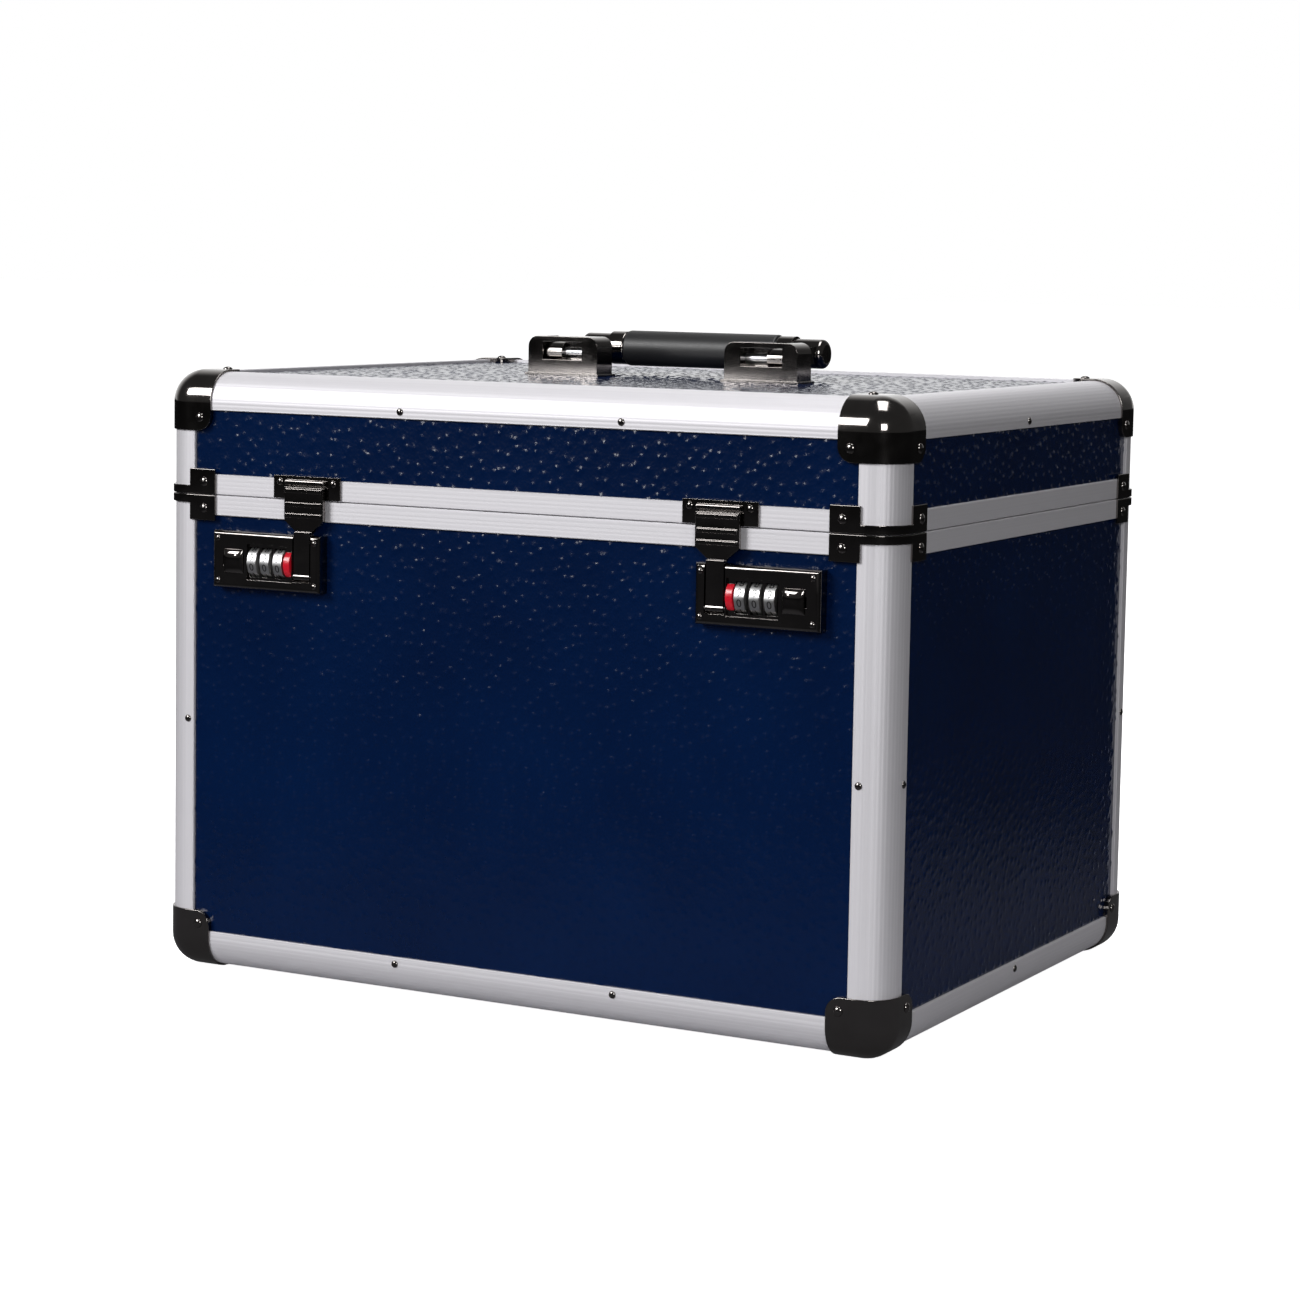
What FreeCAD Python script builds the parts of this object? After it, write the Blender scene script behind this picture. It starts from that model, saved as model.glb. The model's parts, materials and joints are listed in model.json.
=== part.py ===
import FreeCAD, Part
import math
import os

from FreeCAD import Vector

# A carry case with a hinged lid, metal edge profiles, two combination latches, a folding
# handle and two trays that rise with the lid.
# Millimetres. +Z is up, -Y is the front, the origin is on the floor under the case's middle.

# Case
case_width = 370.0
case_depth = 288.0
case_top = 278.0         # top of the edge profiles
parting = 222.0          # height at which the lid meets the body
parting_gap = 0.4
panel_thick = 4.0
lining_thick = 2.0

# Edge profiles and the rim profiles on each side of the parting line
flange_thick = 1.6       # metal outside a panel
flange_width = 17.3      # how far a profile laps over a panel
edge_round = 14.0
lining_round = 4.0
rim_height = 9.2
rim_lip = 3.0            # metal between a panel's edge and the parting line
rim_inner = 1.8          # inner leg of the body's rim
tongue_height = 3.0      # the inner leg stands this far above the body's rim
tongue_gap = 0.3

# Corner caps and the brackets at the parting line
cap_thick = 1.0
cap_reach = 26.8
cap_corner_round = 7.0
bracket_thick = 1.2
bracket_reach = 29.6
bracket_height = 11.8
bracket_inset = 15.5     # where the plate starts, from the side of the case
bracket_strip = 3.8      # height of the strip that wraps the corner

# Rivets
rivet_radius = 2.2
rivet_height = 1.1
small_rivet_radius = 1.7
small_rivet_height = 0.9
rivet_inset = 20.8       # cap rivets, from both edges
profile_rivet_inset = 14.2
profile_rivet_offset = 56.0
post_rivet_rise = 6.0     # above the middle of the body's height
bracket_rivet_inset = 23.5
bracket_rivet_drop = 6.1  # below the body's edge
bracket_rivet_rise = 5.7  # above the lid's edge

# Latches, given for the right one
latch_inset = 60.5       # latch middle, from the side of the case
latch_width = 58.8
latch_drop = 41.8        # plate's lower edge below the parting line
latch_height = 26.2
latch_depth = 6.6
latch_round = 2.0
latch_rivet_inset = 3.4
latch_rivet_shift = 0.6  # the rivets by the hasp stand closer to the edge
latch_rivet_radius = 1.4
latch_rivet_height = 0.8
pocket_depth = 1.2
pocket_height = 16.4
dial_count = 3
dial_pitch = 7.05
dial_width = 4.8
dial_radius = 7.6
dial_sink = 4.4          # dial axis behind the pocket's floor
dial_clear = 0.5
dial_shift = 0.45        # dial row's middle, toward the case's middle
dial_drop = 0.6          # dial axis below the plate's middle
dial_facets = 10
axle_radius = 1.5
running_clear = 0.05
housing_wall = 0.8
marker_width = 3.4
marker_radius = 7.2
marker_gap = 0.3
pocket_margin = 0.6      # pocket beyond the hasp's channel and the dials
button_length = 10.5
button_width = 11.0
button_proud = 2.05
button_round = 1.2
button_gap = 0.1
button_shift = 12.0      # button's near end, from the latch middle
button_travel = 3.6
stem_length = 4.0
stem_width = 4.0
stem_depth = 4.0

# Hasps and keepers
arm_shift = 19.8         # hasp's middle, from the latch middle
arm_width = 8.6
arm_thick = 1.8
arm_clear = 0.6
arm_rise = 1.5           # the arm reaches this far above the plate
arm_sink = 0.3           # the arm's face behind the knuckle's front
channel_depth = 4.0
hasp_pivot_rise = 7.3    # above the latch plate's lower edge
hasp_pivot_sink = 1.6    # behind the latch plate's face
hasp_knuckle = 1.9
hasp_pin_radius = 1.1
hasp_pin_seat = 0.7      # how far the pin enters the plate on each side
head_width = 21.0
head_drop = 9.0          # head's lower edge below the parting line
head_height = 15.0
head_thick = 2.0
head_gap = 0.4
rib_height = 1.8
rib_proud = 0.8
rib_margin = 1.0
rib_rises = (1.2, 6.2, 12.4)
keeper_width = 36.0
keeper_height = 10.4
keeper_thick = 1.2
keeper_rivet_inset = 3.7
keeper_rivet_drop = 2.6
keeper_rivet_radius = 1.8
keeper_rivet_height = 1.0
keeper_gap = 0.3
ledge_round = 0.8
ledge_height = 2.4
ledge_proud = 2.4
ledge_gap = 0.8

# Lid hinges
hinge_inset = 75.0       # hinge middle, from the side of the case
hinge_width = 50.0
hinge_radius = 3.4
hinge_pin_radius = 1.5
hinge_gap = 0.35
leaf_thick = 1.2
leaf_height = 17.0
leaf_start = 3.9
knuckle_gap = 0.3
hinge_rivet_share = 0.34 # of the hinge's width, from its middle
hinge_rivet_drop = 0.7   # of the leaf's height, from its start

# Handle
bracket_inner = 34.0
bracket_outer = 72.0
mount_depth = 15.0
mount_height = 18.8
mount_round = 5.0
mount_base = 1.2
mount_base_margin = 1.2
handle_axis_y = 2.0
handle_axis_rise = 11.0
handle_pin_radius = 2.5
window_inner = 42.5
window_outer = 64.0
window_low = 7.6
window_high = 16.2
handle_arm_inner = 55.0
handle_arm_outer = 63.0
handle_arm_height = 8.0
handle_boss = 5.0
handle_reach = 38.0
handle_lift = 1.8
grip_half = 41.0
grip_radius = 8.6
ferrule_end = 49.5
ferrule_radius = 8.1
knob_end = 65.5
knob_radius = 7.0
spigot_radius = 4.0
spigot_length = 12.0
arm_side_gap = 0.6
ferrule_round = 1.0
knob_round = 2.5
grip_round = 1.2
handle_pin_inset = 2.0

# Trays and the link bars that carry them
tray_front_gap = 6.4
tray_back_gap = 5.65     # from the lower tray to the rear lining with the lid open
tray_side_gap = 2.2      # between a tray and the link bars
tray_wall = 2.0
tray_round = 4.0
tray_drop = 3.0          # upper tray's rim below the parting line
upper_height = 27.0
lower_height = 28.0
upper_front_bays = 4
upper_rear_bays = 3
lower_bays = 3
divider_thick = 1.6
divider_drop = 3.0       # dividers stop this far below the rim
link_inset = 28.4        # rear pivot, from the lining's face
link_front_inset = 27.0  # front link's tip, from the front of the trays
link_between = 21.0      # from the front links' pivot to the rear links' tip
open_angle = 100.0       # degrees
link_round = 7.0
link_thick = 2.6
link_gap = 0.6
ear_round = 5.0
stud_radius = 2.4
stud_head = 3.6
stud_head_thick = 0.7
pivot_head = 4.2
pivot_head_thick = 0.9
pivot_head_gap = 0.3
plate_thick = 2.0        # of the plates the links turn on
link_plate_margin = 12.0
link_plate_half = 9.0
lid_pivot_clear = 0.6
lid_arm_half = 7.0
lid_arm_drop = 6.0
lid_arm_foot = 9.0
lid_arm_top = 24.0

tiny = 0.01              # for telling a shape's edges apart

# Worked out from the sizes above
half_w = case_width / 2
half_d = case_depth / 2
case_bottom = cap_thick
wall = flange_thick + panel_thick
body_top = parting - parting_gap / 2
lid_bottom = parting + parting_gap / 2
inner_w = half_w - wall - lining_thick
inner_d = half_d - wall - lining_thick
front_skin = -half_d + flange_thick
top_skin = case_top - flange_thick
hinge_middle = half_w - hinge_inset
hinge_y = half_d + hinge_gap + hinge_radius
latch_middle = half_w - latch_inset
latch_bottom = parting - latch_drop
latch_top = latch_bottom + latch_height
latch_face = front_skin - latch_depth
pocket_floor = latch_face + pocket_depth
dial_middle = latch_middle - dial_shift
dial_y = pocket_floor + dial_sink
dial_z = latch_bottom + latch_height / 2 - dial_drop
button_start = latch_middle + button_shift
arm_middle = latch_middle - arm_shift
head_low = parting - head_drop
head_high = head_low + head_height
hasp_y = latch_face + hasp_pivot_sink
hasp_z = latch_bottom + hasp_pivot_rise
hasp_pin_reach = arm_width / 2 + arm_clear + hasp_pin_seat
handle_z = top_skin + handle_axis_rise
link_plate_face = inner_w - plate_thick
bar_outer = link_plate_face - link_gap
bar_inner = bar_outer - link_thick
tray_half = bar_inner - tray_side_gap
tray_front = -inner_d + tray_front_gap
upper_rim = parting - tray_drop
upper_floor = upper_rim - upper_height
link_z = upper_floor - link_round
lower_rim = link_z - link_round
lower_floor = lower_rim - lower_height
rear_link_y = inner_d - link_inset
link_reach = (rear_link_y - tray_front - link_front_inset - link_between) / 2
front_link_y = rear_link_y - link_reach - link_between
swing = link_reach / 2 * (1 - math.cos(math.radians(open_angle)))
tray_back = inner_d - tray_back_gap - swing
lid_pivot_y = hinge_y - link_reach


def block(x, y, z):
    corner = Vector(x[0], y[0], z[0])
    return Part.makeBox(x[1] - x[0], y[1] - y[0], z[1] - z[0], corner)


def rod(start, end, radius):
    along = end - start
    return Part.makeCylinder(radius, along.Length, start, along)


def cross_rod(x, y, z, radius):
    return rod(Vector(x[0], y, z), Vector(x[1], y, z), radius)


def joined(shapes):
    whole = shapes[0].fuse(shapes[1:])
    return whole.removeSplitter()


def cut_all(shape, tools):
    return shape.cut(tools)


def outline(start, steps):
    # A step is the next corner, or a pair that gives an arc's middle and end.
    edges = []
    here = start
    for step in steps + [start]:
        if isinstance(step, tuple):
            middle, end = step
            edges.append(Part.Arc(here, middle, end).toShape())
        else:
            end = step
            edges.append(Part.LineSegment(here, end).toShape())
        here = end
    return Part.Face(Part.Wire(edges))


def rounded_upright(shape, radius):
    upright = [edge for edge in shape.Edges if edge.BoundBox.XLength + edge.BoundBox.YLength < tiny]
    return shape.makeFillet(radius, upright)


def across_x(shape):
    return shape.mirror(Vector(0, 0, 0), Vector(1, 0, 0))


def across_y(shape):
    return shape.mirror(Vector(0, 0, 0), Vector(0, 1, 0))


def pair(shape):
    return [shape, across_x(shape)]


def four(shape):
    return pair(shape) + pair(across_y(shape))


def dome(seat, normal, radius, height):
    # A rivet's head, seated on a face.
    ball = (radius ** 2 + height ** 2) / (2 * height)
    sphere = Part.makeSphere(ball, seat + normal * (height - ball))
    keep = Part.makeCylinder(radius + height, height, seat, normal)
    return sphere.common(keep)


def save(name, shapes):
    if not isinstance(shapes, list):
        shapes = [shapes]
    solids = [solid for shape in shapes for solid in shape.Solids]
    whole = solids[0] if len(solids) == 1 else Part.makeCompound(solids)
    whole.exportStep("parts/" + name + ".step")
    saved.append(name)


# Edge profiles: at(a, b) places a point a and b inside the two outer faces.
def edge_profile(at, run):
    bulge = edge_round * (1 - math.sqrt(0.5))
    steps = [
        at(edge_round, 0),
        (at(bulge, bulge), at(0, edge_round)),
        at(0, flange_width),
        at(flange_thick, flange_width),
        at(flange_thick, edge_round),
        at(wall, edge_round),
        at(wall, wall),
        at(edge_round, wall),
        at(edge_round, flange_thick),
        at(flange_width, flange_thick),
    ]
    return outline(at(flange_width, 0), steps).extrude(run)


def post(low, high):
    def at(a, b):
        return Vector(-half_w + a, -half_d + b, low)
    return edge_profile(at, Vector(0, 0, high - low))


def rails(outer_z, inward):
    # The four level profiles at the case's top or bottom.
    end_x = half_w - flange_width
    end_y = half_d - flange_width

    def at_front(a, b):
        return Vector(-end_x, -half_d + a, outer_z + inward * b)

    def at_side(a, b):
        return Vector(-half_w + a, -end_y, outer_z + inward * b)
    front = edge_profile(at_front, Vector(2 * end_x, 0, 0))
    side = edge_profile(at_side, Vector(0, 2 * end_y, 0))
    return [front, across_y(front), side, across_x(side)]


def body_rim_section(at):
    inner = wall + rim_inner
    return outline(at(0, -rim_height), [
        at(0, 0),
        at(wall + tongue_gap, 0),
        at(wall + tongue_gap, tongue_height),
        at(inner, tongue_height),
        at(inner, -rim_height),
        at(wall, -rim_height),
        at(wall, -rim_lip),
        at(flange_thick, -rim_lip),
        at(flange_thick, -rim_height),
    ])


def lid_rim_section(at):
    return outline(at(0, 0), [
        at(0, rim_height),
        at(flange_thick, rim_height),
        at(flange_thick, rim_lip),
        at(wall, rim_lip),
        at(wall, 0),
    ])


def rims(section, seam):
    end_x = half_w - flange_width
    end_y = half_d - flange_width

    def at_front(a, rise):
        return Vector(-end_x, -half_d + a, seam + rise)

    def at_side(a, rise):
        return Vector(-half_w + a, -end_y, seam + rise)
    front = section(at_front).extrude(Vector(2 * end_x, 0, 0))
    side = section(at_side).extrude(Vector(0, 2 * end_y, 0))
    return [front, across_y(front), side, across_x(side)]


# Panels stand between the profiles' outer flanges and the lining.
def lock_opening():
    half = dial_radius + dial_clear + housing_wall
    reach = dial_row_half() + housing_wall
    return block((dial_middle - reach, dial_middle + reach), (front_skin, -inner_d),
                 (dial_z - half, dial_z + half))


def front_panel(low, high):
    return block((-half_w + edge_round, half_w - edge_round), (front_skin, front_skin + panel_thick),
                 (low, high))


def side_panel(low, high):
    skin = half_w - flange_thick
    return block((skin - panel_thick, skin), (-half_d + edge_round, half_d - edge_round), (low, high))


def flat_panel(low):
    return block((-half_w + edge_round, half_w - edge_round), (-half_d + edge_round, half_d - edge_round),
                 (low, low + panel_thick))


def body_lining():
    floor = case_bottom + wall
    outside = block((-half_w + wall, half_w - wall), (-half_d + wall, half_d - wall),
                    (floor, body_top - rim_height))
    inside = block((-inner_w, inner_w), (-inner_d, inner_d), (floor + lining_thick, body_top))
    return cut_all(rounded_upright(outside, lining_round), [inside] + pair(lock_opening()))


def lid_lining():
    low = lid_bottom + tongue_height + 1
    outside = block((-half_w + wall, half_w - wall), (-half_d + wall, half_d - wall),
                    (low, case_top - wall))
    inside = block((-inner_w, inner_w), (-inner_d, inner_d), (low, case_top - wall - lining_thick))
    return rounded_upright(outside, lining_round).cut(inside)


# Corner caps
def rounded_case(grow):
    whole = block((-half_w - grow, half_w + grow), (-half_d - grow, half_d + grow),
                  (case_bottom - grow, case_top + grow))
    return whole.makeFillet(edge_round + grow, whole.Edges)


def case_outside():
    # The closed case's outer skin: profiles at the edges, panels sunk between them.
    open_x = half_w - flange_width
    open_y = half_d - flange_width
    low = case_bottom + flange_width
    high = case_top - flange_width
    recesses = [
        block((-open_x, open_x), (-half_d, front_skin), (low, high)),
        block((-open_x, open_x), (-front_skin, half_d), (low, high)),
        block((-half_w, -half_w + flange_thick), (-open_y, open_y), (low, high)),
        block((half_w - flange_thick, half_w), (-open_y, open_y), (low, high)),
        block((-open_x, open_x), (-open_y, open_y), (case_bottom, case_bottom + flange_thick)),
        block((-open_x, open_x), (-open_y, open_y), (top_skin, case_top)),
    ]
    return cut_all(rounded_case(0), recesses)


def corner_cap(low, high, far_z):
    x_far = -half_w + cap_reach
    y_far = -half_d + cap_reach
    region = block((-half_w - cap_thick, x_far), (-half_d - cap_thick, y_far), (low, high))
    far = Vector(x_far, y_far, far_z)
    edges = []
    for edge in region.Edges:
        if any(corner.Point.isEqual(far, tiny) for corner in edge.Vertexes):
            edges.append(edge)
    region = region.makeFillet(cap_corner_round, edges)
    return rounded_case(cap_thick).common(region).cut(case_outside())


def parting_bracket(seam, away):
    # A plate on each face beside the post, joined round the post by a narrow strip.
    def ring(grow):
        tall = block((-half_w - grow, half_w + grow), (-half_d - grow, half_d + grow),
                     (parting - bracket_height, parting + bracket_height))
        return rounded_upright(tall, edge_round + grow)

    def zone(start, height):
        levels = sorted([seam, seam + away * height])
        grow = bracket_thick
        near_x = -half_w + start
        near_y = -half_d + start
        far_x = -half_w + bracket_reach
        far_y = -half_d + bracket_reach
        if start == 0:
            return [block((-half_w - grow, far_x), (-half_d - grow, far_y), levels)]
        return [
            block((near_x, far_x), (-half_d - grow, -half_d), levels),
            block((-half_w - grow, -half_w), (near_y, far_y), levels),
        ]
    shell = ring(bracket_thick).cut(ring(0))
    parts = zone(0, bracket_strip) + zone(bracket_inset, bracket_height)
    return shell.common(joined(parts)).removeSplitter()


def cap_rivets(level, up):
    near_x = -half_w + rivet_inset
    near_y = -half_d + rivet_inset
    side_z = level - up * rivet_inset
    seats = [
        (Vector(near_x, -half_d - cap_thick, side_z), Vector(0, -1, 0)),
        (Vector(-half_w - cap_thick, near_y, side_z), Vector(-1, 0, 0)),
    ]
    if up > 0:
        seats.append((Vector(near_x, near_y, level + cap_thick), Vector(0, 0, 1)))
    return [rivet for seat, way in seats for rivet in four(dome(seat, way, rivet_radius, rivet_height))]


def bracket_rivets(level):
    near_x = -half_w + bracket_rivet_inset
    near_y = -half_d + bracket_rivet_inset
    seats = [
        (Vector(near_x, -half_d - bracket_thick, level), Vector(0, -1, 0)),
        (Vector(-half_w - bracket_thick, near_y, level), Vector(-1, 0, 0)),
    ]
    return [rivet for seat, way in seats for rivet in four(dome(seat, way, rivet_radius, rivet_height))]


def profile_rivets(level, along_x, along_y):
    rivets = []
    for place in along_x:
        seat = Vector(place, -half_d, level)
        rivet = dome(seat, Vector(0, -1, 0), small_rivet_radius, small_rivet_height)
        rivets += [rivet, across_y(rivet)]
    for place in along_y:
        seat = Vector(-half_w, place, level)
        rivet = dome(seat, Vector(-1, 0, 0), small_rivet_radius, small_rivet_height)
        rivets += pair(rivet)
    return rivets


# Latches
def dial_row_half():
    return (dial_count - 1) / 2 * dial_pitch + dial_width / 2 + dial_clear


def dial_places():
    return [dial_middle + (number - (dial_count - 1) / 2) * dial_pitch for number in range(dial_count)]


def latch_plate():
    left = latch_middle - latch_width / 2
    plate = block((left, left + latch_width), (latch_face, front_skin),
                  (latch_bottom, latch_bottom + latch_height))
    rim = [edge for edge in plate.Edges if edge.BoundBox.YMax < latch_face + tiny]
    plate = plate.makeFillet(latch_round, rim)
    channel = arm_width / 2 + arm_clear
    pocket_start = arm_middle + channel + pocket_margin
    row_end = dial_middle + dial_row_half() + pocket_margin
    stem_start = button_start + button_length / 2 - stem_length / 2
    stem_end = stem_start + stem_length + button_travel
    tools = [
        block((arm_middle - channel, arm_middle + channel), (latch_face - 1, latch_face + channel_depth),
              (hasp_z - hasp_knuckle - arm_clear, latch_top + 1)),
        block((pocket_start, row_end), (latch_face - 1, pocket_floor),
              (dial_z - pocket_height / 2, dial_z + pocket_height / 2)),
        block((dial_middle - dial_row_half(), dial_middle + dial_row_half()),
              (dial_y - axle_radius, front_skin), (dial_z - axle_radius, dial_z + axle_radius)),
        block((stem_start - button_gap, stem_end + 3 * button_gap),
              (latch_face - 1, latch_face + stem_depth + arm_clear),
              (dial_z - stem_width / 2 - arm_clear / 2, dial_z + stem_width / 2 + arm_clear / 2)),
        hasp_pin(),
    ]
    for place in dial_places():
        half = dial_width / 2 + dial_clear
        tools.append(cross_rod((place - half, place + half), dial_y, dial_z, dial_radius + dial_clear))
    return cut_all(plate, tools)


def lock_housing():
    # The box behind the panel that the dials turn in.
    half = dial_radius + dial_clear
    row = dial_row_half()
    back = dial_y + half
    wide = row + housing_wall
    tall = half + housing_wall
    outside = block((dial_middle - wide, dial_middle + wide), (front_skin, back + housing_wall),
                    (dial_z - tall, dial_z + tall))
    inside = block((dial_middle - row, dial_middle + row), (front_skin, back),
                   (dial_z - half, dial_z + half))
    return outside.cut(inside)


def dial(place):
    turn = 2 * math.pi / dial_facets
    start = place - dial_width / 2
    end = place + dial_width / 2
    rim = []
    for number in range(dial_facets):
        angle = number * turn
        y = dial_y + dial_radius * math.cos(angle)
        z = dial_z + dial_radius * math.sin(angle)
        rim.append(Vector(start, y, z))
    wheel = outline(rim[0], rim[1:]).extrude(Vector(dial_width, 0, 0))
    bore = cross_rod((start - 1, end + 1), dial_y, dial_z, axle_radius + running_clear)
    return wheel.cut(bore)


def dial_axle():
    row = dial_row_half()
    return cross_rod((dial_middle - row, dial_middle + row), dial_y, dial_z, axle_radius)


def lock_marker():
    end = dial_middle - dial_row_half() - marker_gap
    drum = cross_rod((end - marker_width, end), dial_y, dial_z, marker_radius)
    front = block((end - marker_width, end), (latch_face - marker_radius, pocket_floor),
                  (dial_z - marker_radius, dial_z + marker_radius))
    return drum.common(front)


def slide_button():
    face = latch_face - button_gap
    cap = block((button_start, button_start + button_length), (face - button_proud + button_gap, face),
                (dial_z - button_width / 2, dial_z + button_width / 2))
    rim = [edge for edge in cap.Edges if edge.BoundBox.YMax < face - button_proud / 2]
    cap = cap.makeFillet(button_round, rim)
    middle = button_start + button_length / 2
    stem = block((middle - stem_length / 2, middle + stem_length / 2), (face, latch_face + stem_depth),
                 (dial_z - stem_width / 2, dial_z + stem_width / 2))
    return joined([cap, stem])


def hasp():
    # A strip on a pin in the latch plate. Its head lies against the keeper on the lid.
    back = -half_d - keeper_thick - head_gap
    front = back - head_thick
    arm_front = hasp_y - hasp_knuckle + arm_sink
    arm_top = latch_top + arm_rise
    half = arm_width / 2
    wide = head_width / 2

    def at(offset, rise):
        return Vector(arm_middle + offset, front, rise)
    face = outline(at(-half, arm_top - arm_thick), [
        at(half, arm_top - arm_thick),
        at(half, arm_top),
        at(wide, head_low),
        at(wide, head_high),
        at(-wide, head_high),
        at(-wide, head_low),
        at(-half, arm_top),
    ])
    head = face.extrude(Vector(0, head_thick, 0))
    ribs = []
    rib_half = wide - rib_margin
    for rise in rib_rises:
        low = head_low + rise
        ribs.append(block((arm_middle - rib_half, arm_middle + rib_half), (front - rib_proud, front),
                          (low, low + rib_height)))
    span = (arm_middle - half, arm_middle + half)
    arm = block(span, (arm_front, arm_front + arm_thick), (hasp_z, arm_top))
    knuckle = cross_rod(span, hasp_y, hasp_z, hasp_knuckle)
    bore = cross_rod(span, hasp_y, hasp_z, hasp_pin_radius + running_clear)
    return joined([head, arm, knuckle] + ribs).cut(bore)


def hasp_pin():
    start = arm_middle - hasp_pin_reach
    end = arm_middle + hasp_pin_reach
    return cross_rod((start, end), hasp_y, hasp_z, hasp_pin_radius)


def keeper():
    left = arm_middle - keeper_width / 2
    face = -half_d - keeper_thick
    low = lid_bottom + keeper_gap
    plate = block((left, left + keeper_width), (face, -half_d), (low, low + keeper_height))
    ledge_low = head_high + ledge_gap
    ledge = block((arm_middle - head_width / 2, arm_middle + head_width / 2), (face - ledge_proud, face),
                  (ledge_low, ledge_low + ledge_height))
    upper = [edge for edge in ledge.Edges if edge.BoundBox.YMax < face - ledge_proud + tiny]
    return joined([plate, ledge.makeFillet(ledge_round, upper)])


def latch_rivets():
    left = latch_middle - latch_width / 2 + latch_rivet_inset - latch_rivet_shift
    right = latch_middle + latch_width / 2 - latch_rivet_inset
    rivets = []
    for place in (left, right):
        for level in (latch_bottom + latch_rivet_inset, latch_top - latch_rivet_inset):
            seat = Vector(place, latch_face, level)
            rivets += pair(dome(seat, Vector(0, -1, 0), latch_rivet_radius, latch_rivet_height))
    return rivets


def keeper_rivets():
    rivets = []
    level = lid_bottom + keeper_height - keeper_rivet_drop
    for side in (-1, 1):
        place = arm_middle + side * (keeper_width / 2 - keeper_rivet_inset)
        seat = Vector(place, -half_d - keeper_thick, level)
        rivets += pair(dome(seat, Vector(0, -1, 0), keeper_rivet_radius, keeper_rivet_height))
    return rivets


# Lid hinges
def hinge_leaf(away, knuckles):
    # away is +1 for the lid's leaf and -1 for the body's.
    levels = sorted([parting + away * leaf_start, parting + away * (leaf_start + leaf_height)])
    reach = hinge_width / 2
    leaf = block((hinge_middle - reach, hinge_middle + reach), (half_d, half_d + leaf_thick), levels)
    pieces = [leaf]
    for span in knuckles:
        start, end = hinge_middle + span[0], hinge_middle + span[1]
        pieces.append(cross_rod((start, end), hinge_y, parting, hinge_radius))
        levels = sorted([parting, parting + away * (leaf_start + 1)])
        web = block((start, end), (half_d + hinge_gap, half_d + hinge_gap + leaf_thick), levels)
        foot = block((start, end), (half_d, half_d + hinge_gap + leaf_thick),
                     sorted([parting + away * leaf_start, parting + away * (leaf_start + 1)]))
        pieces += [web, foot]
    return joined(pieces)


def hinges():
    reach = hinge_width / 2
    third = hinge_width / 6
    span = (hinge_middle - reach, hinge_middle + reach)
    pin = cross_rod(span, hinge_y, parting, hinge_pin_radius)
    loose = cross_rod(span, hinge_y, parting, hinge_pin_radius + running_clear)
    body_leaf = hinge_leaf(-1, [(-reach, -third), (third, reach)]).cut(pin)
    lid_leaf = hinge_leaf(1, [(-third + knuckle_gap, third - knuckle_gap)]).cut(loose)
    return body_leaf, lid_leaf, pin


def hinge_rivets(away):
    rivets = []
    level = parting + away * (leaf_start + leaf_height * hinge_rivet_drop)
    for side in (-1, 1):
        seat = Vector(hinge_middle + side * hinge_width * hinge_rivet_share, half_d + leaf_thick, level)
        rivets += pair(dome(seat, Vector(0, 1, 0), rivet_radius, rivet_height))
    return rivets


# Handle
def handle_mount():
    front = handle_axis_y - mount_depth / 2
    back = front + mount_depth
    top = top_skin + mount_height
    body = block((bracket_inner, bracket_outer), (front, back), (top_skin, top))
    ends = []
    for edge in body.Edges:
        if edge.BoundBox.ZMin > top - tiny and edge.BoundBox.XLength < tiny:
            ends.append(edge)
    body = body.makeFillet(mount_round, ends)
    foot = block((bracket_inner - mount_base_margin, bracket_outer + mount_base_margin),
                 (front - mount_base_margin, back + mount_base_margin), (top_skin, top_skin + mount_base))
    slot = block((handle_arm_inner - arm_side_gap, handle_arm_outer + arm_side_gap),
                 (handle_axis_y - handle_boss - arm_side_gap, back + mount_depth),
                 (handle_z - handle_boss - arm_side_gap, top + 1))
    window = block((window_inner, window_outer), (front - 1, handle_axis_y),
                   (top_skin + window_low, top_skin + window_high))
    return cut_all(joined([body, foot]), [slot, window, handle_pin()])


def handle_pin():
    start = bracket_inner + handle_pin_inset
    end = bracket_outer - handle_pin_inset
    return cross_rod((start, end), handle_axis_y, handle_z, handle_pin_radius)


def handle_arm():
    grip_y = handle_axis_y + handle_reach
    grip_z = handle_z + handle_lift
    half = handle_arm_height / 2
    lever = outline(Vector(handle_arm_inner, handle_axis_y, handle_z - half), [
        Vector(handle_arm_inner, grip_y, grip_z - half),
        Vector(handle_arm_inner, grip_y, grip_z + half),
        Vector(handle_arm_inner, handle_axis_y, handle_z + half),
    ]).extrude(Vector(handle_arm_outer - handle_arm_inner, 0, 0))
    boss = cross_rod((handle_arm_inner, handle_arm_outer), handle_axis_y, handle_z, handle_boss)
    ferrule = cross_rod((grip_half, ferrule_end), grip_y, grip_z, ferrule_radius)
    near_grip = [edge for edge in ferrule.Edges if edge.BoundBox.XMax < grip_half + tiny]
    ferrule = ferrule.makeFillet(ferrule_round, near_grip)
    knob = cross_rod((ferrule_end, knob_end), grip_y, grip_z, knob_radius)
    outer_end = [edge for edge in knob.Edges if edge.BoundBox.XMin > knob_end - tiny]
    knob = knob.makeFillet(knob_round, outer_end)
    spigot = cross_rod((grip_half - spigot_length, grip_half), grip_y, grip_z, spigot_radius)
    bore = cross_rod((handle_arm_inner - 1, handle_arm_outer + 1), handle_axis_y, handle_z,
                     handle_pin_radius + running_clear)
    return joined([lever, boss, ferrule, knob, spigot]).cut(bore)


def handle_grip():
    grip_y = handle_axis_y + handle_reach
    grip_z = handle_z + handle_lift
    bar = cross_rod((-grip_half, grip_half), grip_y, grip_z, grip_radius)
    ends = [edge for edge in bar.Edges if edge.BoundBox.XLength < tiny]
    bar = bar.makeFillet(grip_round, ends)
    return bar.cut(cross_rod((-grip_half, grip_half), grip_y, grip_z, spigot_radius))


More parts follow.
